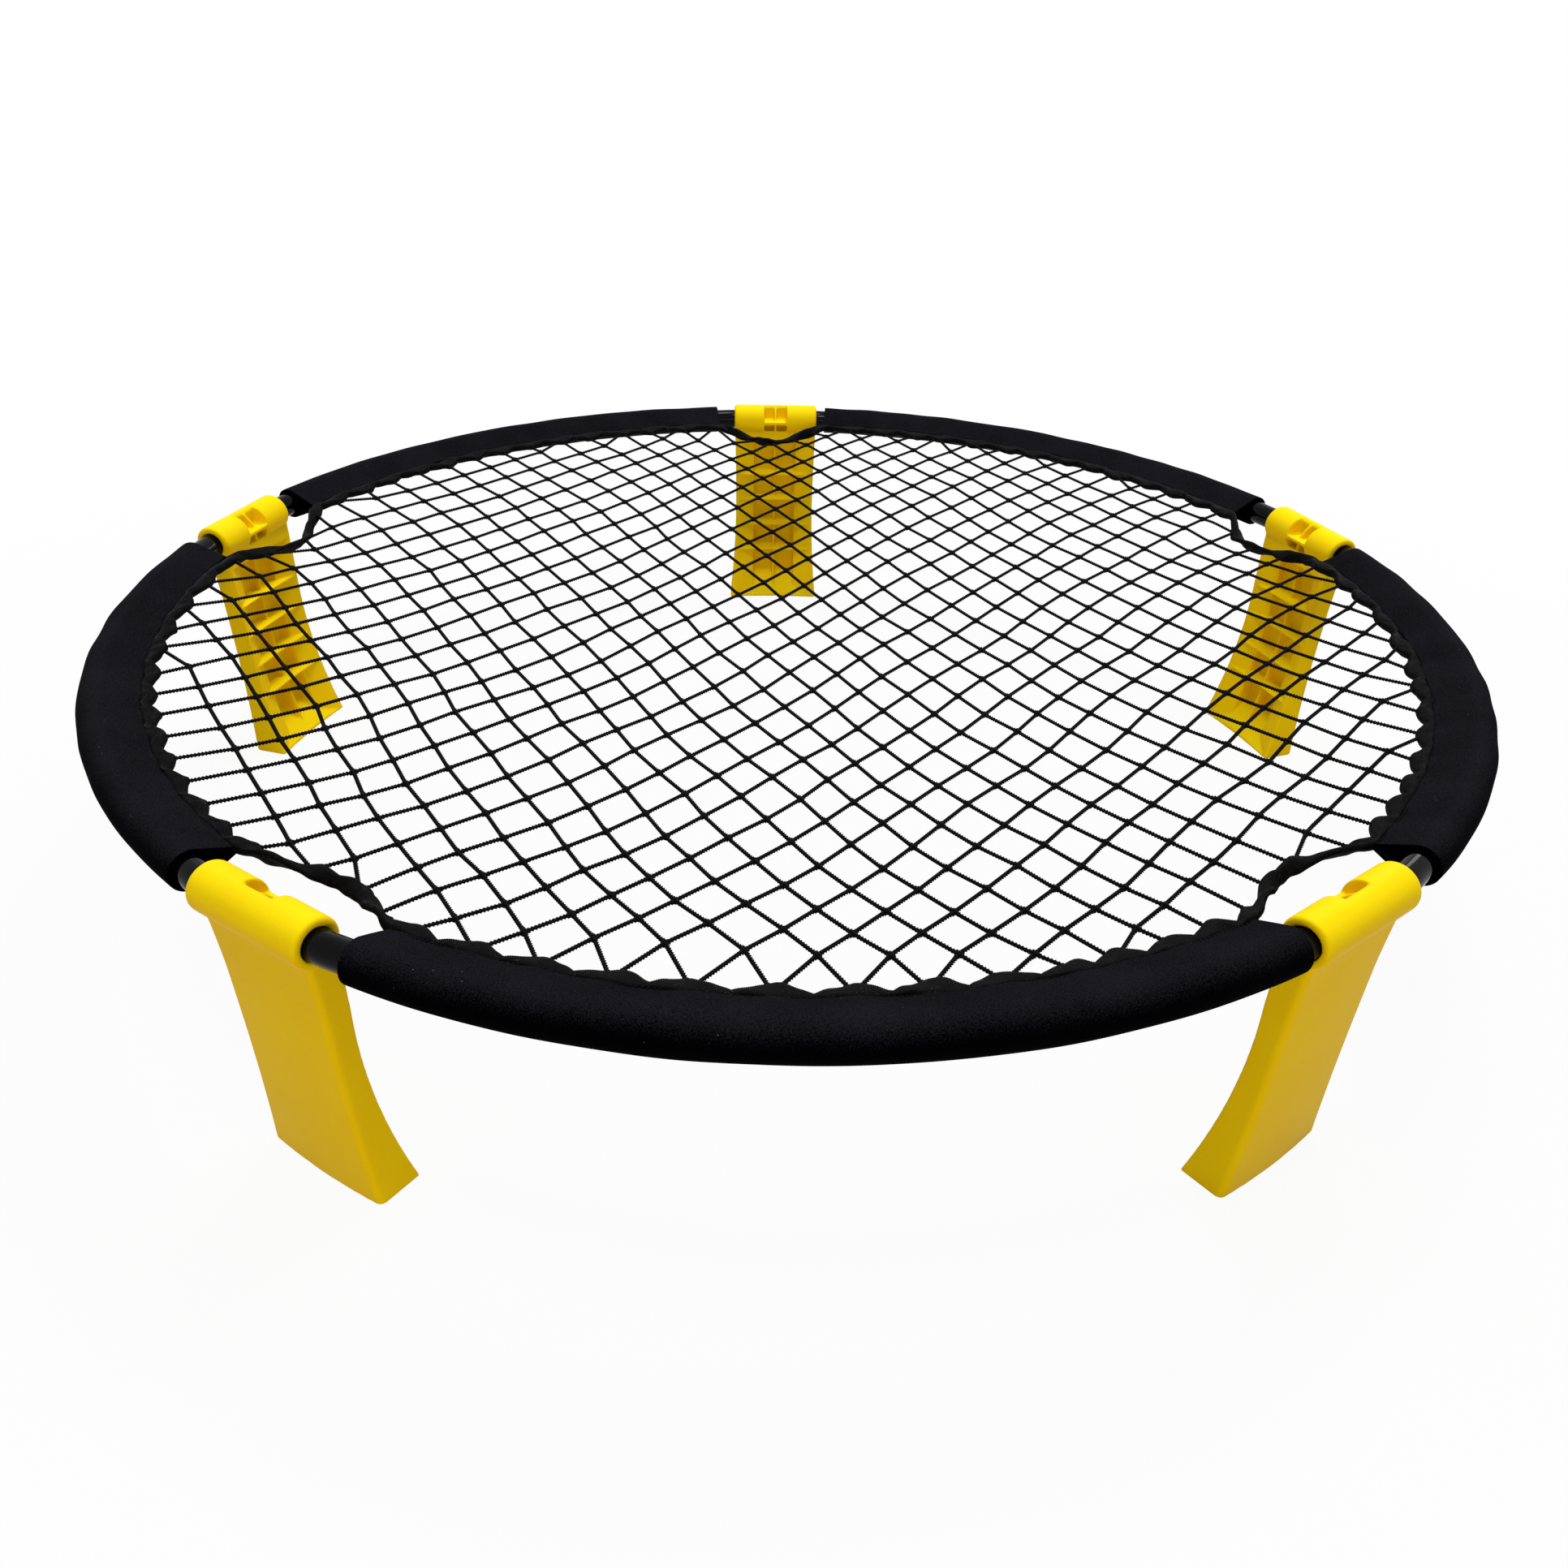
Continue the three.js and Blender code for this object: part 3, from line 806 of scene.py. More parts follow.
@dataclass
class Net:
    """A knotless net of two families of twisted cords.

    Attributes:
        ring: The shared sizes.
        hem: The line that the net is sewn to.
        half_across: Half a cell's short diagonal in the middle of the net.
        half_along: Half a cell's long diagonal there.
        offset: The net's nodes against the middle, in half diagonals.
        turn: How far the net is turned, anticlockwise.
        spread: How much the cells widen, towards their sides and towards their ends.
        draw: How much they shorten, towards their sides and towards their ends.
        sag: How far the middle hangs.
        stray: How far the nodes stray from their places.
        snap: Nodes as near as this to the hem are sewn to it.
        cord_radius: Mean radius of a cord.
        ply: Share by which the two plies stand proud.
        step: Distance between stations, a third of the distance between two plies.
        knot: Share by which a cord is thicker where it crosses another.
        knot_reach: Half the length of a crossing.
        calm: Share by which the twist flattens at a crossing.
        smooth: Stations to each side over which a cord's bends are rounded.
        seam: How far a cord's end reaches into the hem.
        families: How many cords are laid to each side of the middle one, before they are trimmed.
        reach: Nodes further out than this, before the net is drawn, are outside the hem.
        merged: Ends of cords that are nearer than this angle count as one.
    """

    ring: Ring
    hem: HemLine
    half_across: float = 0.01577
    half_along: float = 0.02469
    offset: tuple[float, float] = (1.280, 0.273)
    turn: float = math.radians(-6.1)
    spread: tuple[float, float] = (0.108, 0.062)
    draw: tuple[float, float] = (0.247, 0.089)
    sag: float = 0.020
    stray: float = 0.0016
    snap: float = 0.011
    cord_radius: float = 0.00100
    ply: float = 0.36
    step: float = 0.00064
    knot: float = 0.55
    knot_reach: float = 0.0022
    calm: float = 0.55
    smooth: int = 4
    seam: float = 0.0032
    families: int = 34
    reach: float = 0.52
    merged: float = 0.006

    def node(self, first: np.ndarray, second: np.ndarray) -> np.ndarray:
        """Where cord number first of one family crosses cord number second of the other.

        Args:
            first: Numbers of the cords in the first family.
            second: Numbers of the cords in the second family.

        Returns:
            Places in the plane of the ring, of shape (..., 2).
        """
        x = (first + second + self.offset[0]) * self.half_across
        y = (first - second + self.offset[1]) * self.half_along
        side, end = (x / self.ring.radius) ** 2, (y / self.ring.radius) ** 2
        wide = x * (1 + self.spread[0] * side + self.spread[1] * end)
        long = y * (1 - self.draw[0] * side - self.draw[1] * end)
        cos, sin = math.cos(self.turn), math.sin(self.turn)
        flat = np.stack([cos * wide - sin * long, sin * wide + cos * long], -1)
        slow = Ripples(3, 5, 0.12, 0.3), Ripples(4, 5, 0.12, 0.3)
        quick = Ripples(5, 5, 0.05, 0.1), Ripples(6, 5, 0.05, 0.1)
        for axis in (0, 1):
            flat[..., axis] += self.stray * (
                slow[axis].at(x, y) + 0.45 * quick[axis].at(x, y))
        return flat

    def cords(self) -> tuple[list[np.ndarray], list[np.ndarray]]:
        """The course of every cord, from hem to hem.

        Returns:
            For each family, arrays of nodes in the plane of the ring.
        """
        numbers = np.arange(-self.families, self.families + 1)
        grid = self.node(numbers[:, None], numbers[None, :])
        angle = np.arctan2(grid[..., 1], grid[..., 0])
        room = self.hem.inner(angle) - np.hypot(grid[..., 0], grid[..., 1])
        across = (numbers[:, None] + numbers[None, :] + self.offset[0]) * self.half_across
        along = (numbers[:, None] - numbers[None, :] + self.offset[1]) * self.half_along
        room = np.where(np.hypot(across, along) < self.reach, room, -1.0)
        sewn = np.abs(room) < self.snap
        edge = radial(angle)[..., :2] * (self.hem.inner(angle) + self.seam)[..., None]
        grid = np.where(sewn[..., None], edge, grid)
        inside = room >= self.snap
        families = []
        for places, within, fixed in ((grid, inside, sewn),
                                      (grid.swapaxes(0, 1), inside.T, sewn.T)):
            runs = []
            for line, kept, ends in zip(places, within, fixed):
                runs += self._runs(line, kept, ends)
            families.append(runs)
        return families[0], families[1]

    def _runs(self, line: np.ndarray, inside: np.ndarray, sewn: np.ndarray) -> list[np.ndarray]:
        """The stretches of one cord inside the hem.

        Args:
            line: Nodes along the cord.
            inside: Which of them are clear of the hem.
            sewn: Which of them are sewn to the hem.

        Returns:
            Arrays of nodes, each with its ends on the hem.
        """
        runs = []
        i = 0
        while i < len(line):
            if not inside[i]:
                i += 1
                continue
            j = i
            while j + 1 < len(line) and inside[j + 1]:
                j += 1
            points = [self._end(line[i - 1], line[i], sewn[i - 1]), *line[i:j + 1],
                      self._end(line[j + 1], line[j], sewn[j + 1])]
            runs.append(np.array(points))
            i = j + 1
        return runs

    def _end(self, outside: np.ndarray, inside: np.ndarray, sewn: bool) -> np.ndarray:
        """Where a cord meets the hem between a node inside and the next one.

        Args:
            outside: The first node that isn't clear of the hem.
            inside: The last node that is.
            sewn: Whether the outer node is sewn to the hem.

        Returns:
            The cord's end in the plane of the ring.
        """
        if sewn:
            return outside
        low, high = 0.0, 1.0
        for _ in range(24):
            share = (low + high) / 2
            point = inside + (outside - inside) * share
            within = np.hypot(*point) < self.hem.inner(math.atan2(point[1], point[0]))
            low, high = (share, high) if within else (low, share)
        point = inside + (outside - inside) * high
        return point + radial(math.atan2(point[1], point[0]))[:2] * self.seam

    def lifted(self, flat: np.ndarray) -> np.ndarray:
        """Puts places in the plane of the ring at the height at which the net hangs there.

        Args:
            flat: Places of shape (n, 2).

        Returns:
            Places of shape (n, 3).
        """
        angle = np.arctan2(flat[:, 1], flat[:, 0])
        share = np.hypot(flat[:, 0], flat[:, 1]) / self.ring.hem_inner
        sway = self.hem.sway(angle)[1]
        low = self.sag * (1 - np.clip(share, 0, 1) ** 2) + sway * np.clip(share, 0, 1) ** 8
        return np.column_stack([flat, self.ring.height - low])

    def cord(self, skin: Skin, nodes: np.ndarray, lift: float, phase: float) -> None:
        """Adds one twisted cord.

        Args:
            skin: The mesh that it is added to.
            nodes: Its nodes in the plane of the ring.
            lift: How far it passes over the cords that it crosses.
            phase: Where its twist starts.
        """
        marks = distances(nodes)
        count = int(marks[-1] / self.step)
        along = np.linspace(0, marks[-1], count)
        flat = resampled(nodes, marks, along)
        kernel = np.hanning(2 * self.smooth + 1)
        kernel /= kernel.sum()
        padded = np.concatenate([np.repeat(flat[:1], self.smooth, 0), flat,
                                 np.repeat(flat[-1:], self.smooth, 0)])
        flat = np.stack([np.convolve(padded[:, k], kernel, "valid") for k in (0, 1)], -1)
        near = np.abs(along[:, None] - marks[None, 1:-1]).min(axis=1) if len(marks) > 2 else 1.0
        crossing = np.exp(-(near / self.knot_reach) ** 2)
        points = self.lifted(flat)
        points[:, 2] += lift * crossing
        tangent = unit(np.gradient(points, axis=0))
        side = unit(np.cross(UP, tangent))
        over = np.cross(tangent, side)
        # Six points round, and every third of them is the crest of a ply.
        turn = phase + np.arange(6) * math.pi / 3
        proud = np.array([1, -0.5, -0.5, 1, -0.5, -0.5]) * self.ply
        calm = 1 - self.calm * crossing
        radius = self.cord_radius * (1 + self.knot * crossing)[:, None] * (
            1 + proud[None, :] * calm[:, None])
        steps = np.arange(count)[:, None]
        angle = turn[None, :] + steps * (math.pi / 3)
        rings = (points[:, None]
                 + radius[..., None] * (np.cos(angle)[..., None] * side[:, None]
                                        + np.sin(angle)[..., None] * over[:, None]))
        skin.loft(rings)

    def attachments(self) -> np.ndarray:
        """Finds the places at which cords are sewn to the hem.

        Returns:
            Their angles about the middle, in order.
        """
        ends = np.array([run[k] for family in self.cords() for run in family for k in (0, -1)])
        angles = np.sort(np.arctan2(ends[:, 1], ends[:, 0]))
        return angles[np.concatenate([[True], np.diff(angles) > self.merged])]

    def build(self, look: bpy.types.Material) -> None:
        """Makes the cords in four pieces, each half of a family.

        Args:
            look: Their material.
        """
        draw = np.random.RandomState(11)
        for family, (letter, lift) in zip(self.cords(), (("a", 0.0004), ("b", -0.0004))):
            half = len(family) // 2
            for number, runs in enumerate((family[:half], family[half:]), 1):
                skin = Skin()
                for run in runs:
                    self.cord(skin, run, lift, draw.uniform(0, math.pi))
                name = f"net_cords_{letter}{number}"
                nodes = ["net"] if (letter, number) == ("a", 1) else []
                piece(name, skin.mesh(name), "rim", look, nodes)


# ---------- Hem ----------


@dataclass
class Hem:
    """Ribbed tape that binds the sleeves' edges and carries the net.

    Attributes:
        ring: The shared sizes.
        line: The line that the hem follows.
        thickness: Thickness of the rolled edge.
        bound: Thickness where it wraps the sleeves' bands.
        rib: Distance between two ribs of thread.
        rib_height: How far a rib stands proud.
        pull: How far the hem swings between the cords and where they are sewn on.
        stitch: Distance between two stitches along the sleeves.
        stitch_size: A stitch's length, width and height.
        loose_width: Width of the hem beside a leg.
        points: Points round the section.
        pull_in: Share of the swing that lies inwards, at the cords.
        notch: How sharply the edge swings back from a cord.
        full: Distance between two cords at which the swing is whole.
        eased: Share by which the swing fades beside a leg.
        boxy: Powers that square the section, across and upwards.
        slim: Share by which the tape is thinner beside a leg.
        lump: Unevenness of the thread.
        waver: Unevenness of the inner edge and of the height.
        curl: The twist beside a leg: its size, its turns across the gap and where it starts.
        tilt: How far the tape tips between two cords.
    """

    ring: Ring
    line: HemLine
    thickness: float = 0.0052
    bound: float = 0.0060
    rib: float = 0.00092
    rib_height: float = 0.00030
    pull: float = 0.0064
    stitch: float = 0.0026
    stitch_size: tuple[float, float, float] = (0.0015, 0.0006, 0.0007)
    loose_width: float = 0.0090
    points: int = 16
    pull_in: float = 0.38
    notch: float = 1.6
    full: float = 0.026
    eased: float = 0.65
    boxy: tuple[float, float] = (0.62, 0.72)
    slim: float = 0.3
    lump: float = 0.00028
    waver: tuple[float, float] = (0.0006, 0.0007)
    curl: tuple[float, float, float] = (1.15, 1.3, 0.4)
    tilt: float = 0.22

    def between(self, angle: np.ndarray, sewn: np.ndarray) -> tuple[np.ndarray, np.ndarray]:
        """Where each angle lies between the two cords beside it.

        Args:
            angle: Angles about the middle.
            sewn: Angles at which cords are sewn on, in order.

        Returns:
            Places that are -1 and 1 at the cords and 0 midway, and how wide apart the cords are
            against a common distance, at most 1.
        """
        stops = np.concatenate([[sewn[-1] - 2 * math.pi], sewn, [sewn[0] + 2 * math.pi]])
        after = np.searchsorted(stops, angle).clip(1, len(stops) - 1)
        low, high = stops[after - 1], stops[after]
        place = (2 * angle - low - high) / (high - low)
        return place, np.clip((high - low) * self.ring.hem_inner / self.full, 0, 1) ** 1.5

    def section(self, angle: np.ndarray, sewn: np.ndarray, width: np.ndarray,
                free: np.ndarray) -> tuple[np.ndarray, np.ndarray]:
        """The tape's section at each station, before it is twisted.

        Args:
            angle: The stations' angles.
            sewn: Angles at which cords are sewn on.
            width: The tape's width at each station.
            free: How free it hangs there, from 0 to 1.

        Returns:
            How far each point lies outwards and upwards of the tape's middle, both of shape
            (stations, points).
        """
        arc = angle * self.ring.hem_inner
        place, apart = self.between(angle, sewn)
        notch = (1 - np.abs(place)) ** self.notch * apart
        pull = (self.pull * (1 - self.eased * free) * (self.pull_in - notch)
                + self.waver[0] * Ripples(21, 7, 0.018, 0.05).at(arc, 0.0))
        turn = np.arange(self.points) * 2 * math.pi / self.points
        across = np.sign(np.cos(turn)) * np.abs(np.cos(turn)) ** self.boxy[0]
        up = np.sign(np.sin(turn)) * np.abs(np.sin(turn)) ** self.boxy[1]
        inner = 0.5 - 0.5 * across
        thick = self.bound * (1 - inner)[None, :] + self.thickness * inner[None, :]
        thick = thick * (1 - self.slim * free)[:, None]
        ribs = np.where(np.arange(len(angle)) % 2 == 0, 1.0, -1.0) * self.rib_height / 2
        lumps = Ripples(31, 9, 0.008, 0.03).at(arc[:, None], across[None, :] * 0.01) * self.lump
        a = across[None, :] * width[:, None] / 2 - pull[:, None] * inner[None, :]
        b = up[None, :] * thick / 2
        grow = 1 + (ribs[:, None] + lumps) / np.hypot(a, b)
        return a * grow, b * grow

    def twist(self, angle: np.ndarray, sewn: np.ndarray, free: np.ndarray) -> np.ndarray:
        """How far the tape is turned about its own line.

        Args:
            angle: The stations' angles.
            sewn: Angles at which cords are sewn on.
            free: How free the tape hangs at each station, from 0 to 1.

        Returns:
            The turn at each station.
        """
        arc = angle * self.ring.hem_inner
        place, apart = self.between(angle, sewn)
        share = self.line.in_gap(angle)[1]
        size, turns, start = self.curl
        curl = free * (size * np.sin(2 * math.pi * turns * share + start)
                       + 0.25 * Ripples(41, 5, 0.02, 0.05).at(arc, 0.0))
        tilt = (self.tilt * np.sin(math.pi * place) * apart
                + 0.12 * Ripples(42, 5, 0.03, 0.07).at(arc, 0.0))
        return curl + (1 - free) * tilt

    def build(self, look: bpy.types.Material, sewn: np.ndarray) -> None:
        """Makes the hem and the stitches that hold it.

        Args:
            look: Its material.
            sewn: Angles at which cords are sewn on.
        """
        length = 2 * math.pi * self.ring.hem_inner
        angle = np.linspace(-math.pi, math.pi, 2 * int(length / self.rib), endpoint=False)
        sway, drop, free = self.line.sway(angle)
        width = (self.ring.hem_outer - self.ring.hem_inner) * (1 - free) + self.loose_width * free
        centre = self.ring.hem_inner - sway + width / 2
        a, b = self.section(angle, sewn, width, free)
        twist = self.twist(angle, sewn, free)
        cos, sin = np.cos(twist)[:, None], np.sin(twist)[:, None]
        a, b = a * cos - b * sin, a * sin + b * cos
        waver = self.waver[1] * Ripples(43, 6, 0.03, 0.06).at(angle * self.ring.hem_inner, 0.0)
        height = self.ring.height - drop + waver * (0.4 + 0.6 * free)
        rings = (radial(angle)[:, None] * (centre[:, None] + a)[..., None]
                 + UP * (height[:, None] + b)[..., None])
        tape = Skin().loft(rings[:, ::-1], closed_path=True)
        piece("net_hem_tape", tape.mesh("net_hem"), "rim", look, ["net_hem"])
        self.stitches(look)

    def stitches(self, look: bpy.types.Material) -> None:
        """Makes the row of small stitches along the hem's outer edge, on the sleeves.

        Args:
            look: Their material.
        """
        count = int(2 * math.pi * self.ring.hem_outer / self.stitch)
        angle = np.linspace(-math.pi, math.pi, count, endpoint=False)
        share = self.line.in_gap(angle)[1]
        angle = angle[(share < -0.03) | (share > 1.03)]
        long, wide, tall = (size / 2 for size in self.stitch_size)
        radius = self.ring.hem_outer + 0.0006 + 0.0003 * Ripples(47, 5, 0.01, 0.04).at(
            angle * self.ring.hem_outer, 0.0)
        middle = radial(angle) * radius[:, None] + UP * (self.ring.height + 0.0026)
        lean = angle + 0.5
        along = np.stack([-np.sin(lean), np.cos(lean), 0 * lean], -1) * long
        side = radial(lean) * wide
        square = ((-1, -1), (1, -1), (1, 1), (-1, 1))
        skin = Skin()
        for spot, ahead, across in zip(middle, along, side):
            skin.loft(np.array([[spot + ahead * end + (across * a + UP * tall * b) * fat
                                 for a, b in square]
                                for end, fat in ((-1, 0.5), (-0.4, 1.0), (0.4, 1.0), (1, 0.5))]))
        piece("net_hem_stitches", skin.mesh("stitches"), "rim", look)


# ---------- Sleeves ----------


@dataclass
class Sleeves:
    """Foam-backed cloth wrapped round each tube, its two edges laid together inboard.

    Attributes:
        ring: The shared sizes.
        cloth: Thickness of the cloth.
        slack: Gap between the cloth and the tube.
        band: From the round part's inboard side to the cloth's edges.
        pressed: Thickness of one layer at the edges, where the hem presses it.
        step: Distance between stations.
        around: Points along the section of the cloth.
        parting: Half the gap between the two layers of the band.
        swell: How far the cloth's soft waves stand proud, and the share of that underneath.
        tug: How far a cord of the net draws the band, and the width over which it does.
        waver: How far the band wavers up and down.
        sunk: How far the cloth's face lies below its full thickness.
    """

    ring: Ring
    cloth: float = 0.0026
    slack: float = 0.0006
    band: float = 0.0125
    pressed: float = 0.0019
    step: float = 0.0022
    around: int = 46
    parting: float = 0.00008
    swell: tuple[float, float] = (0.00028, 0.6)
    tug: tuple[float, float] = (0.00075, 0.007)
    waver: float = 0.0004
    sunk: float = 0.0001

    def section(self) -> tuple[np.ndarray, np.ndarray, np.ndarray, float]:
        """The middle of the cloth across the tube.

        Returns:
            Points (outward, up), unit vectors away from the cloth's inside, half thicknesses,
            and the length of the section.
        """
        radius = self.ring.tube_radius + self.slack + self.cloth / 2
        edge = np.array([-(self.ring.tube_radius + self.slack + self.cloth + self.band),
                         self.pressed / 2 + self.parting])
        span = np.hypot(*edge)
        leave = math.pi - math.atan2(edge[1], -edge[0]) - math.acos(radius / span)
        arc = np.linspace(leave, -leave, 400)
        curve = np.stack([np.cos(arc), np.sin(arc)], -1) * radius
        upper = edge + (curve[0] - edge) * np.linspace(0, 1, 120, endpoint=False)[:, None]
        lower = upper[::-1] * np.array([1, -1])
        line = np.concatenate([upper, curve, lower])
        marks = distances(line)
        line = resampled(line, marks, np.linspace(0, marks[-1], self.around))
        tangent = unit(np.gradient(line, axis=0))
        away = np.stack([-tangent[:, 1], tangent[:, 0]], -1)
        inboard = np.clip((-line[:, 0] - radius) / self.band, 0, 1)
        half = (self.cloth * (1 - inboard) + self.pressed * inboard) / 2
        return line, away, half, float(marks[-1])

    def build(self, look: bpy.types.Material, sewn: np.ndarray) -> None:
        """Makes the sleeves.

        Args:
            look: Their material.
            sewn: Angles at which the net's cords pull on the hem.
        """
        line, away, half, wide = self.section()
        around = distances(line)
        inboard = np.clip((-line[:, 0] - 0.004) / (self.band + 0.008), 0, 1)
        upper = np.where(line[:, 1] >= 0, 1.0, self.swell[1])
        ease = np.array([0.0, 0.10, 0.30]) * self.cloth / 2 / self.ring.radius
        rounding = np.array([0.72, 0.90, 0.98])
        for index in range(LEG_COUNT):
            first = self.ring.leg_angle(index) + self.ring.sleeve_end(index, 1)
            last = self.ring.leg_angle(index + 1) - self.ring.sleeve_end(index + 1, 0)
            long = (last - first) * self.ring.radius
            body = np.linspace(first, last, int(long / self.step))[1:-1]
            angle = np.concatenate([first + ease, body, last - ease[::-1]])
            thick = np.concatenate([rounding, np.ones(len(body)), rounding[::-1]])
            arc = angle * self.ring.radius
            soft = Ripples(50 + index, 9, 0.03, 0.09).at(arc[:, None], around[None, :])
            turn = np.angle(np.exp(1j * (angle[:, None] - sewn[None, :])))
            tug = np.exp(-(turn * self.ring.hem_inner / self.tug[1]) ** 2).max(axis=1)
            drawn = self.tug[0] * (tug[:, None] - 0.5) * inboard[None, :] ** 2
            proud = self.swell[0] * soft + drawn - self.sunk
            normal = radial(angle)[:, None] * away[None, :, :1] + UP * away[None, :, 1:]
            waver = self.waver * Ripples(70 + index, 4, 0.06, 0.12).at(arc, 0.0)
            middle = (radial(angle)[:, None] * (self.ring.radius + line[None, :, :1])
                      + UP * (self.ring.height + line[None, :, 1:])
                      + UP * waver[:, None, None] * inboard[None, :, None])
            cloth = half[None, :] * thick[:, None]
            outer = middle + normal * (cloth + proud * upper[None, :])[..., None]
            skin = Skin().shell(outer, middle - normal * cloth[..., None], False)
            name = f"sleeve_{index + 1}"
            made = piece(f"{name}_cloth", skin.mesh(name), "rim", look, [name])


# ---------- Carving ----------


class Carve(Enum):
    """What is done with the second solid."""

    JOIN = "UNION"
    CUT = "DIFFERENCE"


class Carved:
    """A solid that other solids are joined to or cut from."""

    def __init__(self, name: str, skin: Skin) -> None:
        """Starts from a closed skin."""
        self.mesh = skin.mesh(name)

    def _carve(self, other: Union[Skin, bpy.types.Mesh], how: Carve) -> "Carved":
        """Joins or cuts the other solid.

        Args:
            other: The solid, which is used up.
            how: What is done with it.

        Returns:
            This solid.
        """
        mesh = other.mesh("tool") if isinstance(other, Skin) else other
        subject, tool = placed("carved", self.mesh), placed("carved", mesh)
        step = subject.modifiers.new("carve", "BOOLEAN")
        step.operation, step.object, step.solver = how.value, tool, "MANIFOLD"
        result = evaluated(subject)
        for one in (subject, tool):
            bpy.data.objects.remove(one)
        for old in (self.mesh, mesh):
            bpy.data.meshes.remove(old)
        self.mesh = result
        return self

    def join(self, other: Union[Skin, bpy.types.Mesh]) -> "Carved":
        """Adds a solid."""
        return self._carve(other, Carve.JOIN)

    def cut(self, other: Union[Skin, bpy.types.Mesh]) -> "Carved":
        """Takes a solid away."""
        return self._carve(other, Carve.CUT)

    def take(self) -> bpy.types.Mesh:
        """Hands over the mesh."""
        return self.mesh

    def softened(self, voxel: float, rounds: int, share: float) -> bpy.types.Mesh:
        """The solid with its corners rounded, as a moulding's are.

        Args:
            voxel: Size of the cells in which it is remade.
            rounds: How many times it is smoothed.
            share: Share of the faces that is kept.

        Returns:
            The mesh.
        """
        made = placed("softened", self.mesh)
        remesh = made.modifiers.new("cells", "REMESH")
        remesh.mode, remesh.voxel_size, remesh.use_smooth_shade = "VOXEL", voxel, True
        smooth = made.modifiers.new("smooth", "SMOOTH")
        smooth.factor, smooth.iterations = 0.5, rounds
        fewer = made.modifiers.new("fewer", "DECIMATE")
        fewer.ratio = share
        result = evaluated(made)
        bpy.data.objects.remove(made)
        bpy.data.meshes.remove(self.mesh)
        result.shade_smooth()
        return result


def evaluated(made: bpy.types.Object) -> bpy.types.Mesh:
    """Applies an object's modifiers.

    Args:
        made: The object.

    Returns:
        A new mesh.
    """
    graph = bpy.context.evaluated_depsgraph_get()
    graph.update()
    return bpy.data.meshes.new_from_object(made.evaluated_get(graph))


# ---------- Legs ----------


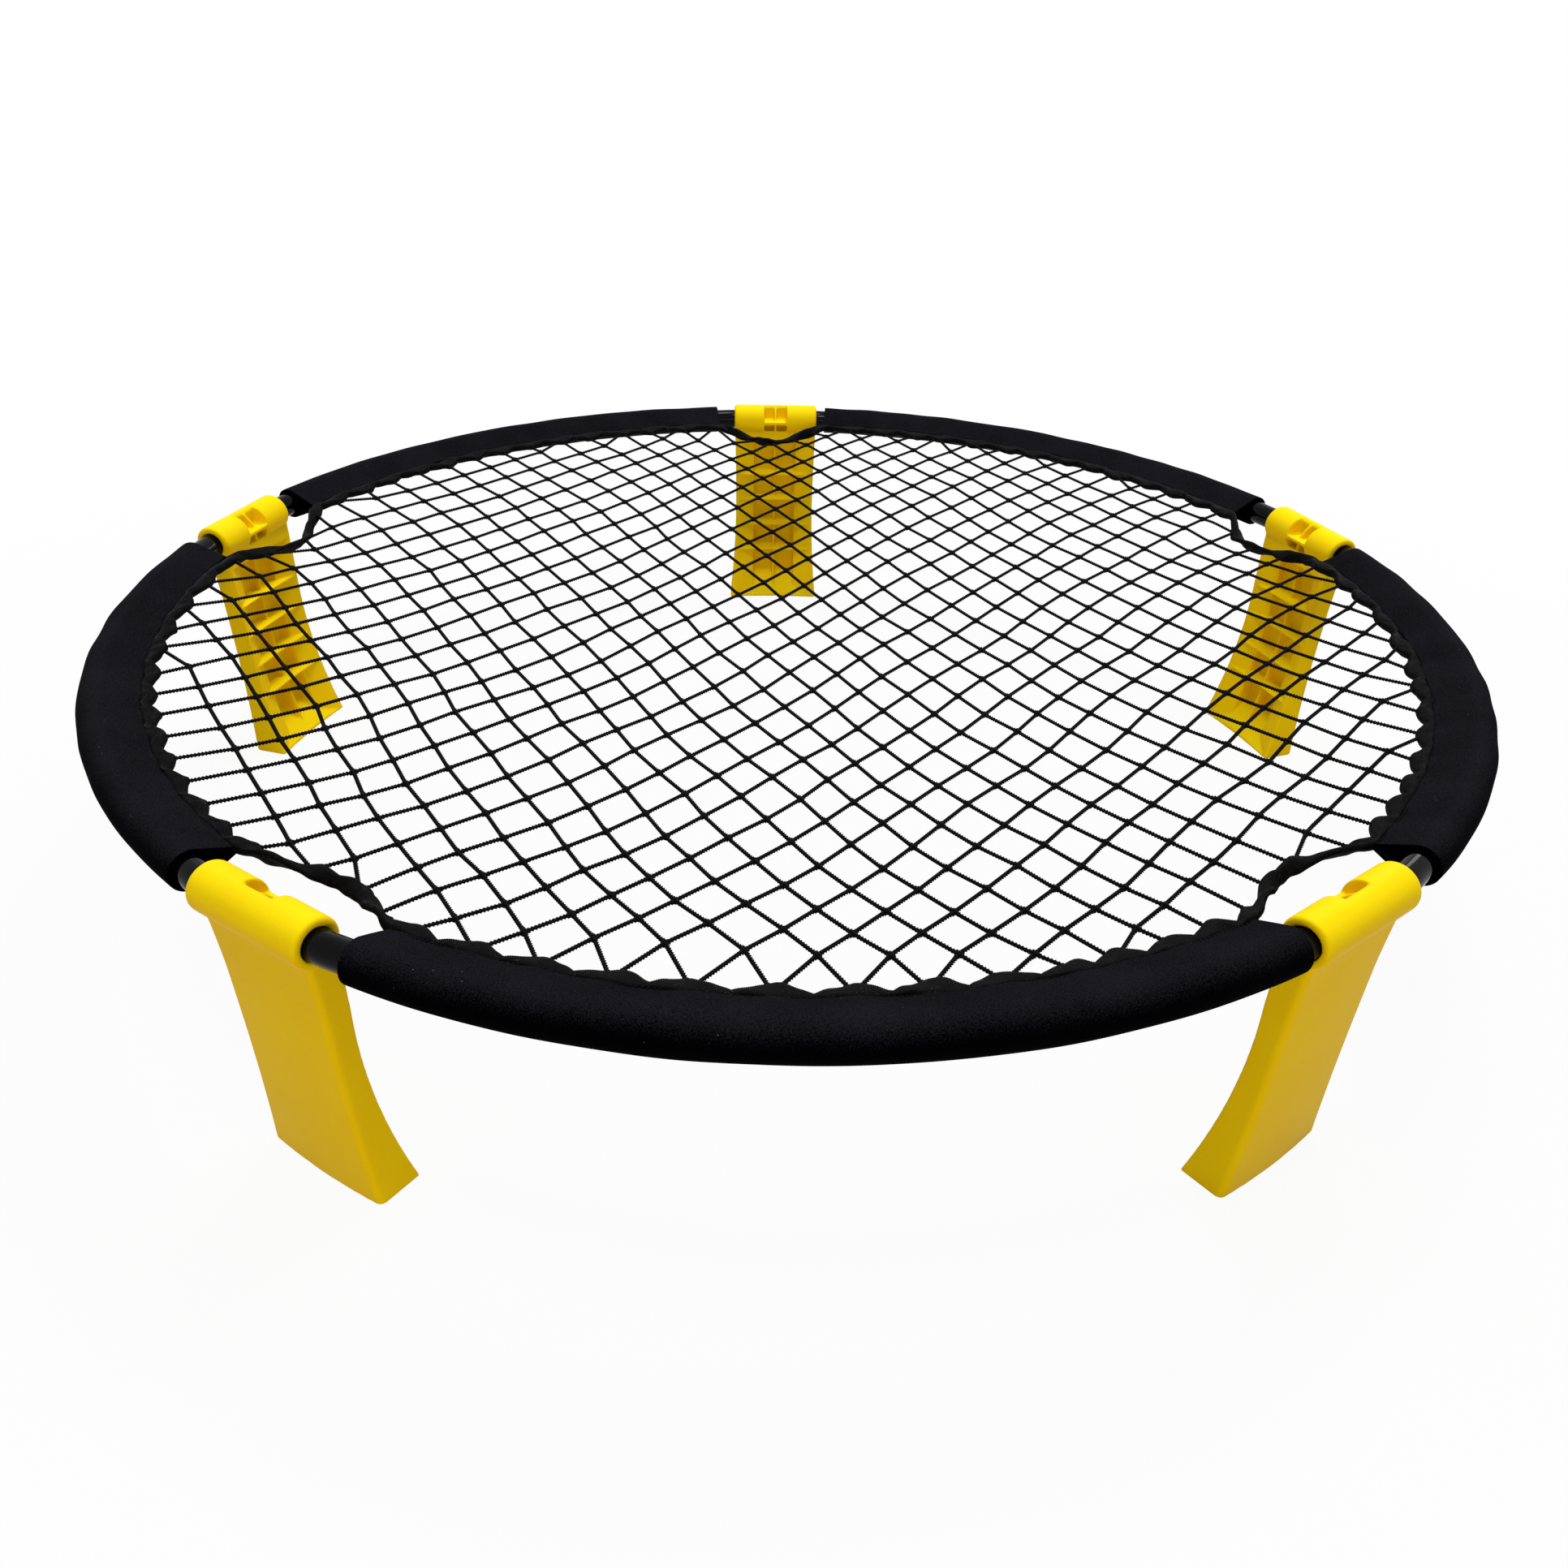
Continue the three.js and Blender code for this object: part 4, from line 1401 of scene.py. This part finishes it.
@dataclass
class Leg:
    """One yellow moulding, made once and placed five times.

    Local frame: x along the barrel, y outboard, z up, origin on the barrel's axis.

    Attributes:
        ring: The shared sizes.
        barrel_radius: Outside of the barrel.
        lip: Rounding of the barrel's ends.
        bore: Radius of the holes for the tubes.
        pocket: Width of the pocket between the bores.
        pocket_wall: The pocket's back wall, inboard of the axis.
        pocket_ease: Slope along the top of the back wall.
        pocket_below: How far the pocket reaches down.
        web: Thickness of the web across the pocket, and where its edge meets the ledge.
        ledge: The ledge's top above the axis, its thickness and its reach inboard.
        top: Depth of the plate's top.
        half_widths: Half the plate's width at its top, waist and foot.
        waist: Depth of the waist.
        outer: The outer face outboard of the axis, at the axis and at the foot.
        shoulder: How far the outer face swells out to meet the barrel, and down to what depth.
        inner: The inner edge inboard of the axis, at the top and at the foot.
        curve_depth: Where the inner edge starts to curve inboard.
        curve_power: How sharply it curves.
        corner: Radius of the outer face's long corners.
        edge: Radius of the inner edges.
        hollow_top: Depth of the hollow's top.
        rim: Width of the flat rim beside the hollow.
        channel: Width of the channel.
        band: How far the sloping bands reach in before the channel.
        wall: Thickness of the outer wall.
        rib_pitch: Distance between the ribs.
        rib: Thickness of a rib and of the spine.
        rib_count: Number of ribs.
        ramp: Height of the foot block.
        sole_lip: Height of the foot block at its inboard edge.
        voxel: Size of the cells in which the corners are rounded.
        faces: Share of the faces that is kept after that.
        rounds: How many times the corners are smoothed.
        bore_wall: Between the pocket and the inner end of a bore.
        beyond: How far the tools reach past the leg's sides.
        below: How far they reach below the sole.
    """

    ring: Ring
    barrel_radius: float = 0.0135
    lip: float = 0.0024
    bore: float = 0.0088
    pocket: float = 0.0215
    pocket_wall: float = 0.0015
    pocket_ease: float = 0.002
    pocket_below: float = 0.009
    web: tuple[float, float] = (0.0022, 0.010)
    ledge: tuple[float, float, float] = (0.0008, 0.003, 0.0132)
    top: float = 0.004
    half_widths: tuple[float, float, float] = (0.0393, 0.0378, 0.043)
    waist: float = 0.080
    outer: tuple[float, float] = (0.0075, -0.0018)
    shoulder: tuple[float, float] = (0.003, 0.020)
    inner: tuple[float, float] = (0.0103, 0.0285)
    curve_depth: float = 0.050
    curve_power: float = 1.9
    corner: float = 0.0036
    edge: float = 0.0009
    hollow_top: float = 0.020
    rim: float = 0.0025
    channel: float = 0.040
    band: float = 0.006
    wall: float = 0.003
    rib_pitch: float = 0.025
    rib: float = 0.002
    rib_count: int = 4
    ramp: float = 0.022
    sole_lip: float = 0.002
    voxel: float = 0.00062
    faces: float = 0.22
    rounds: int = 10
    bore_wall: float = 0.002
    beyond: float = 0.06
    below: float = 0.003

    def half_width(self, depth: np.ndarray) -> np.ndarray:
        """Half the plate's width.

        Args:
            depth: Depths under the axis.

        Returns:
            Half the width at each depth.
        """
        top, waist, foot = self.half_widths
        above = np.clip(1 - depth / self.waist, 0, None)
        below = np.clip((depth - self.waist) / (self.ring.height - self.waist), 0, None)
        return waist + (top - waist) * above**2 + (foot - waist) * below**2

    def outer_face(self, depth: np.ndarray) -> np.ndarray:
        """The outer face, outboard of the axis."""
        swelling = self.shoulder[0] * np.clip(1 - depth / self.shoulder[1], 0, None) ** 2
        return self.outer[0] + (self.outer[1] - self.outer[0]) * depth / self.ring.height + swelling

    def inner_edge(self, depth: np.ndarray) -> np.ndarray:
        """The inner edge, outboard of the axis, so below zero."""
        share = np.clip((depth - self.curve_depth) / (self.ring.height - self.curve_depth), 0, None)
        return -(self.inner[0] + (self.inner[1] - self.inner[0]) * share**self.curve_power)

    def bent(self, x: np.ndarray, y: np.ndarray, depth: np.ndarray) -> np.ndarray:
        """Points of the plate, which is curved as the ring is, but straight at the barrel."""
        curve = smooth_step(depth / self.curve_depth) / (2 * self.ring.radius)
        return np.stack([x, y - curve * x * x, -depth + 0 * x], -1)

    def plate(self) -> Skin:
        """The plate without its hollow.

        Returns:
            Its skin.
        """
        depth = np.linspace(self.top, self.ring.height, 70)[:, None]
        half, inner, outer = self.half_width(depth), self.inner_edge(depth), self.outer_face(depth)
        quarter = np.linspace(0, math.pi / 2, 7)[None, :]
        small = np.linspace(0, math.pi / 2, 3)[None, :]
        run = np.linspace(-1, 1, 17)[None, 1:-1]
        corner, edge = self.corner, self.edge
        x = np.concatenate([
            -half + edge - edge * np.cos(small), (half - edge) * run,
            half - edge + edge * np.sin(small),
            half - corner + corner * np.cos(quarter), (half - corner) * -run,
            -half + corner - corner * np.sin(quarter)], 1)
        y = np.concatenate([
            inner + edge - edge * np.sin(small), inner + 0 * run,
            inner + edge - edge * np.cos(small),
            outer - corner + corner * np.sin(quarter), outer + 0 * run,
            outer - corner + corner * np.cos(quarter)], 1)
        return Skin().loft(self.bent(x, y, depth)[::-1])

    def hollow(self, deep: bool) -> Skin:
        """A cutter for the sloping tray, or for the deeper channel in it.

        Args:
            deep: Whether it is the channel.

        Returns:
            The cutter's skin.
        """
        depth = np.linspace(self.hollow_top, self.ring.height + 0.001, 60)[:, None]
        rim = self.half_width(depth) - self.rim
        inner = self.inner_edge(depth)
        middle = self.channel / 2 + 0 * depth
        if deep:
            mouth, near, far = middle, inner, self.outer_face(depth) - self.wall
        else:
            mouth, near, far = rim + (rim - middle), inner - self.band, inner + self.band
        x = np.concatenate([-mouth, mouth, middle, -middle], 1)
        y = np.concatenate([near, near, far, far], 1)
        return Skin().loft(self.bent(x, y, depth)[::-1])

    @staticmethod
    def block(x: tuple, y: tuple, z: tuple) -> Skin:
        """A block between two corners.

        Args:
            x: Its two ends along x.
            y: Its two ends along y.
            z: Its two ends along z.

        Returns:
            Its skin.
        """
        ring = [[x[0], y[0]], [x[1], y[0]], [x[1], y[1]], [x[0], y[1]]]
        return Skin().loft(np.array([[[*corner, level] for corner in ring] for level in z],
                                    dtype=float))

    @staticmethod
    def rod(radius: float, ends: tuple[float, float], lip: float = 0.0) -> Skin:
        """A round rod along x.

        Args:
            radius: Its radius.
            ends: Where it ends along x.
            lip: Rounding of its ends.

        Returns:
            Its skin.
        """
        low, high = ends
        x, r = [low, high], [radius, radius]
        if lip:
            turn = np.linspace(0, math.pi / 2, 5)[1:-1]
            rise, fall = lip * np.sin(turn), lip * np.cos(turn)
            x = [low, *(low + lip - fall), low + lip, high - lip, *(high - lip + rise), high]
            r = [radius - lip, *(radius - lip + rise), radius, radius,
                 *(radius - lip + fall), radius - lip]
        around = np.linspace(0, 2 * math.pi, 96, endpoint=False)
        rings = np.stack([np.array(x)[:, None] + 0 * around,
                          np.array(r)[:, None] * np.cos(around),
                          np.array(r)[:, None] * np.sin(around)], -1)
        return Skin().loft(rings)

    @staticmethod
    def crosswise(side: Sequence[tuple[float, float]], half: float) -> Skin:
        """A prism along x.

        Args:
            side: Its outline, as (outboard, up) points.
            half: Half its length.

        Returns:
            Its skin.
        """
        return Skin().loft(np.array([[[x, y, z] for y, z in side] for x in (-half, half)]))

    def foot(self) -> Skin:
        """The block at the foot whose top slopes down to the sole's inboard edge.

        Returns:
            Its skin.
        """
        ground = -self.ring.height
        under = ground - self.below
        side = [(-0.05, under), (0.02, under), (0.02, ground + self.ramp),
                (self.outer[1] - self.wall, ground + self.ramp),
                (-self.inner[1], ground + self.sole_lip), (-0.05, ground + self.sole_lip)]
        return self.crosswise(side, self.beyond)

    def pocket_cutter(self) -> bpy.types.Mesh:
        """What is cut out between the bores, with the web and the ledge left standing.

        Returns:
            The cutter's mesh.
        """
        wall, ease, low = -self.pocket_wall, self.pocket_ease, -self.pocket_below
        far, brim = -2 * self.barrel_radius, self.barrel_radius - self.pocket_ease
        opening = Carved("pocket", self.crosswise(
            [(far, low), (wall, low), (wall, brim), (wall + 2 * ease, brim + 2 * ease),
             (far / 2, brim + 2 * ease), (far, brim + 2 * ease)], self.pocket / 2))
        thick, foot = self.web
        top, deep, reach = self.ledge
        share = np.linspace(0, 1, 7)[1:-1]
        span = np.array([wall + foot, top - brim])
        bulge = 0.004 * share * (1 - share) / math.hypot(*span)
        edge = [(wall - span[0] * s + span[1] * b, brim + span[1] * s + span[0] * b)
                for s, b in zip(share, bulge)]
        opening.cut(self.crosswise(
            [(wall + ease, low - 0.002), (wall + ease, brim), (wall, brim), *edge,
             (-foot, top), (-foot, low - 0.002)], thick / 2))
        return opening.cut(self.block((-self.pocket, self.pocket), (-reach, wall + ease),
                                      (top - deep, top))).take()

    def moulding(self) -> bpy.types.Mesh:
        """Makes the leg once.

        Returns:
            The finished mesh in the leg's own frame.
        """
        ground, across = -self.ring.height, (-self.beyond, self.beyond)
        kept = [self.foot()]
        for number in range(1, self.rib_count + 1):
            low = ground + self.ramp + number * self.rib_pitch - self.rib / 2
            kept.append(self.block(across, across, (low, low + self.rib)))
        spine = self.block((-self.rib / 2, self.rib / 2), across, (ground - self.below, 0.0))
        channel = Carved("channel", self.hollow(True)).cut(spine)
        hollow = Carved("hollow", self.hollow(False)).join(channel.take())
        for part in kept:
            hollow.cut(part)
        inner = self.pocket / 2 + self.bore_wall
        ends = (-self.ring.half_barrel, self.ring.half_barrel)
        barrel = self.rod(self.barrel_radius, ends, self.lip)
        leg = Carved("leg", self.plate()).join(barrel)
        leg.cut(hollow.take()).cut(self.pocket_cutter())
        for side in (-1, 1):
            low, high = sorted((side * inner, side * (self.ring.half_barrel + 0.001)))
            leg.cut(self.rod(self.bore, (low, high)))
        return leg.softened(self.voxel, self.rounds, self.faces)

    def build(self, look: bpy.types.Material) -> None:
        """Makes the five legs.

        Args:
            look: Their material.
        """
        pattern = self.moulding()
        for index in range(LEG_COUNT):
            angle = self.ring.leg_angle(index)
            spot = Vector(radial(angle) * self.ring.hub_radius + UP * self.ring.height)
            mesh = pattern.copy()
            mesh.transform(Matrix.Translation(spot) @ Matrix.Rotation(angle - math.pi / 2, 4, "Z"))
            name = f"leg_{index + 1}"
            mesh.name = name
            piece(f"{name}_moulding", mesh, f"{name}_body", look, [name])
        bpy.data.meshes.remove(pattern)


# ---------- Studio ----------


@dataclass
class Studio:
    """A pale floor, a white background, soft light and the camera.

    Attributes:
        floor_size: Side of the floor.
        floor_drop: How far the floor lies under the legs' soles, so that they don't flicker.
        white: Colour of the floor.
        ambient: Strength of the light from all round.
        fade: Distances from the middle between which the floor turns plain white.
        lens: Focal length on a 36 mm frame.
        eye: Where the camera stands.
        heading: Turn to the right of the +Y direction.
        tilt: Downward tilt.
        roll: Turn of the frame, anticlockwise.
    """

    floor_size: float = 14.0
    floor_drop: float = 0.0003
    white: Color = (0.62, 0.62, 0.62, 1.0)
    ambient: float = 0.29
    fade: tuple[float, float] = (0.5, 1.1)
    lens: float = 30.79
    eye: tuple[float, float, float] = (-0.0378, -0.8601, 0.5580)
    heading: float = math.radians(2.45)
    tilt: float = math.radians(31.67)
    roll: float = math.radians(1.49)

    def floor(self) -> None:
        """Lays the floor, which keeps a light shadow of the object."""
        half = self.floor_size / 2
        mesh = bpy.data.meshes.new("floor")
        square = ((-half, -half), (half, -half), (half, half), (-half, half))
        corners = [(x, y, -self.floor_drop) for x, y in square]
        mesh.from_pydata(corners, [], [(0, 1, 2, 3)])
        made = placed("floor", mesh)
        material, graph = new_material("floor_white")
        matte = graph.add("ShaderNodeBsdfDiffuse", None, {"Color": self.white})
        glow = graph.add("ShaderNodeEmission", None, {"Color": (1, 1, 1, 1), "Strength": 1.0})
        place = graph.add("ShaderNodeNewGeometry").out("Position")
        away = graph.add("ShaderNodeVectorMath", {"operation": "LENGTH"}, {0: place}).out("Value")
        near, far = self.fade
        share = graph.seen() * (0.94 + 0.06 * ((away - near) * (1 / (far - near))).clamped())
        mixed = graph.add("ShaderNodeMixShader", None, {0: share, 1: matte.out(), 2: glow.out()})
        graph.add("ShaderNodeOutputMaterial", None, {"Surface": mixed.out()})
        mesh.materials.append(material)

    def world(self) -> None:
        """Makes the background white and lights the scene softly from all round."""
        world = bpy.data.worlds.new("studio")
        world.use_nodes = True
        bpy.context.scene.world = world
        graph = Graph(world.node_tree)
        strength = self.ambient + (1.0 - self.ambient) * graph.seen()
        back = graph.add("ShaderNodeBackground", None,
                         {"Color": (1, 1, 1, 1), "Strength": strength})
        graph.add("ShaderNodeOutputWorld", None, {"Surface": back.out()})

    @staticmethod
    def lamp(name: str, place: tuple, size: tuple[float, float], power: float) -> None:
        """Adds a soft light that points at the object.

        Args:
            name: Its name.
            place: Where it hangs.
            size: Its width and height.
            power: Its power in watts.
        """
        light = bpy.data.lights.new(name, "AREA")
        light.shape, light.energy = "RECTANGLE", power
        light.size, light.size_y = size
        made = placed(name, light)
        made.location = place
        aim = Vector((0, 0, 0.1)) - Vector(place)
        made.rotation_euler = aim.to_track_quat("-Z", "Y").to_euler()

    def camera(self) -> None:
        """Sets the camera at the photograph's viewing angle."""
        sin, cos = math.sin, math.cos
        ahead = Vector((sin(self.heading) * cos(self.tilt), cos(self.heading) * cos(self.tilt),
                        -sin(self.tilt)))
        level = Vector((cos(self.heading), -sin(self.heading), 0))
        top = level.cross(ahead)
        right = cos(self.roll) * level + sin(self.roll) * top
        up = cos(self.roll) * top - sin(self.roll) * level
        camera = bpy.data.cameras.new("camera")
        camera.lens, camera.sensor_width, camera.clip_start = self.lens, 36.0, 0.02
        made = placed("camera", camera)
        made.matrix_world = Matrix((
            (right.x, up.x, -ahead.x, self.eye[0]),
            (right.y, up.y, -ahead.y, self.eye[1]),
            (right.z, up.z, -ahead.z, self.eye[2]),
            (0, 0, 0, 1)))
        bpy.context.scene.camera = made

    def build(self) -> None:
        """Makes the whole studio."""
        self.floor()
        self.world()
        self.lamp("key", (-0.3, -0.8, 3.0), (0.8, 0.8), 34.0)
        self.lamp("back", (0.5, 0.9, 2.6), (0.8, 0.8), 42.0)
        self.lamp("rim_right", (1.6, 1.8, 1.2), (0.6, 0.9), 8.0)
        self.lamp("rim_left", (-1.6, 1.8, 1.2), (0.6, 0.9), 8.0)
        self.lamp("strip", (0.0, -2.4, 0.45), (3.0, 0.05), 13.5)
        self.camera()
        bpy.context.scene.view_settings.view_transform = "Standard"


# ---------- Assembly ----------


def main() -> None:
    logging.basicConfig(level=logging.INFO, format="%(name)s %(message)s")
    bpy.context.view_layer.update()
    Studio().build()
    ring = Ring()
    line = HemLine(ring)
    net = Net(ring, line)
    sewn = net.attachments()
    LOG.info("net sewn to the hem at %d places", len(sewn))
    Leg(ring).build(MouldedPlastic().material())
    RimTubes(ring).build(GlossCoat().material())
    Sleeves(ring).build(FoamCloth().material(), sewn)
    # The hem tape's painted highlights on its fibres are lighter than the net cords'.
    tape = YarnFinish("hem_tape", bright=(0.0045, 0.0045, 0.0050, 1.0),
                      painted_glint=(0.20, 0.20, 0.21, 1.0), glint=0.64, roughness=0.4)
    Hem(ring, line).build(tape.material(), sewn)
    net.build(YarnFinish("net_cord").material())


if __name__ == "__main__":
    main()
